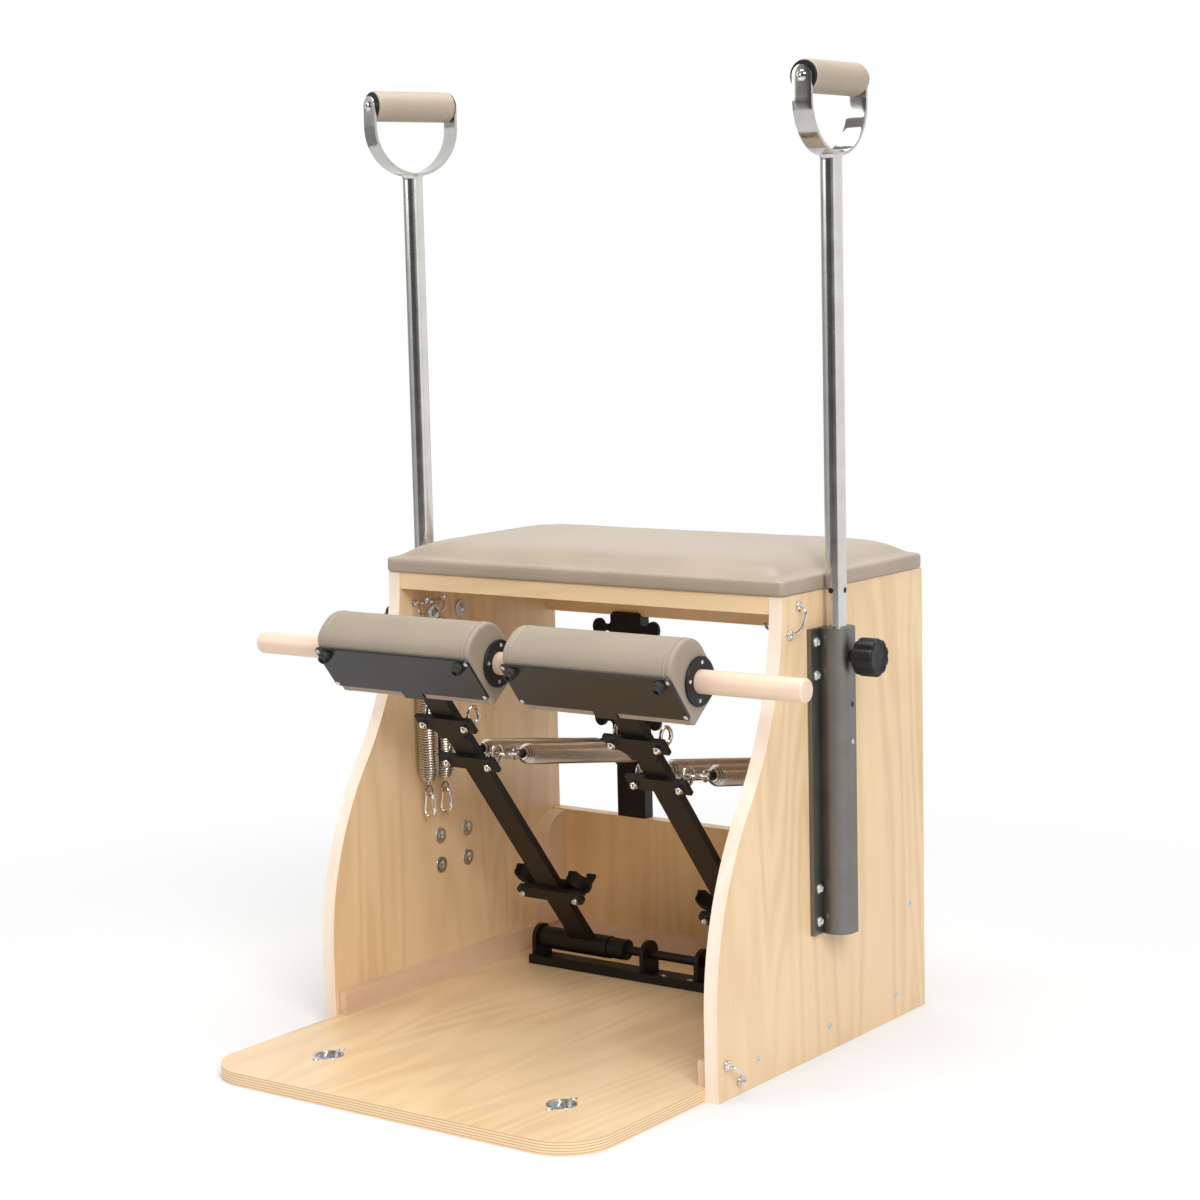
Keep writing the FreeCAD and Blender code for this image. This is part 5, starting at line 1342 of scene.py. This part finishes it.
class CHAIR_OT_eyes(bpy.types.Operator):
    """Makes the eye bolts"""
    bl_idname = "chair.eyes"
    bl_label = "Eye bolts"

    def execute(self, context):
        make_eye_bolts()
        return {"FINISHED"}


class CHAIR_OT_screws(bpy.types.Operator):
    """Sets the wood screws"""
    bl_idname = "chair.screws"
    bl_label = "Frame screws"

    def execute(self, context):
        make_frame_screws()
        return {"FINISHED"}


class CHAIR_OT_bolts(bpy.types.Operator):
    """Sets the bracket bolts and their washers"""
    bl_idname = "chair.bolts"
    bl_label = "Bracket bolts"

    def execute(self, context):
        make_bracket_bolts()
        return {"FINISHED"}


class CHAIR_OT_steps(bpy.types.Operator):
    """Makes the steps' feet, discs and screws"""
    bl_idname = "chair.steps"
    bl_label = "Step fittings"

    def execute(self, context):
        make_step_fittings()
        return {"FINISHED"}


class CHAIR_OT_hooks(bpy.types.Operator):
    """Cuts the lobed plates that the springs hang on"""
    bl_idname = "chair.hooks"
    bl_label = "Post hooks"

    def execute(self, context):
        make_hook_plates()
        return {"FINISHED"}


class CHAIR_OT_knobs(bpy.types.Operator):
    """Turns the lock knobs"""
    bl_idname = "chair.knobs"
    bl_label = "Lock knobs"

    def execute(self, context):
        make_knobs(context.scene.chair_sizes)
        return {"FINISHED"}


class CHAIR_OT_handles(bpy.types.Operator):
    """Makes the poles, straps and grips"""
    bl_idname = "chair.handles"
    bl_label = "Handles"

    def execute(self, context):
        make_handles()
        return {"FINISHED"}


class CHAIR_OT_cups(bpy.types.Operator):
    """Bends the spring clips low on the arms"""
    bl_idname = "chair.cups"
    bl_label = "Hook cups"

    def execute(self, context):
        make_hook_cups()
        return {"FINISHED"}


class CHAIR_OT_bails(bpy.types.Operator):
    """Bends the strap hooks"""
    bl_idname = "chair.bails"
    bl_label = "Strap hooks"

    def execute(self, context):
        make_strap_hooks()
        return {"FINISHED"}


class CHAIR_OT_floor_eyes(bpy.types.Operator):
    """Makes the floor eyes"""
    bl_idname = "chair.floor_eyes"
    bl_label = "Floor eyes"

    def execute(self, context):
        make_floor_eyes()
        return {"FINISHED"}


class CHAIR_OT_stage(bpy.types.Operator):
    """Sets the floor, the lamps and the camera"""
    bl_idname = "chair.stage"
    bl_label = "Stage"

    def execute(self, context):
        make_stage()
        return {"FINISHED"}


STEPS = (CHAIR_OT_finishes, CHAIR_OT_seat, CHAIR_OT_pads, CHAIR_OT_dowel, CHAIR_OT_springs, CHAIR_OT_spares,
         CHAIR_OT_links, CHAIR_OT_eyes, CHAIR_OT_screws, CHAIR_OT_bolts, CHAIR_OT_steps, CHAIR_OT_hooks,
         CHAIR_OT_knobs, CHAIR_OT_handles, CHAIR_OT_cups, CHAIR_OT_bails, CHAIR_OT_floor_eyes, CHAIR_OT_stage)


class CHAIR_PT_dressing(bpy.types.Panel):
    """Lists the steps that dress the chair"""
    bl_idname = "CHAIR_PT_dressing"
    bl_label = "Pilates chair"
    bl_space_type = "VIEW_3D"
    bl_region_type = "UI"
    bl_category = "Chair"

    def draw(self, context):
        for step in STEPS:
            self.layout.operator(step.bl_idname)
        for group in (context.scene.chair_sizes, context.scene.chair_colours):
            for name in group.bl_rna.properties.keys():
                if name not in ("rna_type", "name"):
                    self.layout.prop(group, name)


CLASSES = (ChairSizes, ChairColours, *STEPS, CHAIR_PT_dressing)


def register():
    """Registers the classes and hangs the settings on the scene."""
    for item in CLASSES:
        bpy.utils.register_class(item)
    bpy.types.Scene.chair_sizes = PointerProperty(type=ChairSizes)
    bpy.types.Scene.chair_colours = PointerProperty(type=ChairColours)


def unregister():
    """Takes the settings and the classes away again."""
    del bpy.types.Scene.chair_colours
    del bpy.types.Scene.chair_sizes
    for item in reversed(CLASSES):
        bpy.utils.unregister_class(item)


def main():
    """Registers the add-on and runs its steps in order."""
    register()
    for step in STEPS:
        group, name = step.bl_idname.split(".")
        getattr(getattr(bpy.ops, group), name)()


if __name__ == "__main__":
    main()
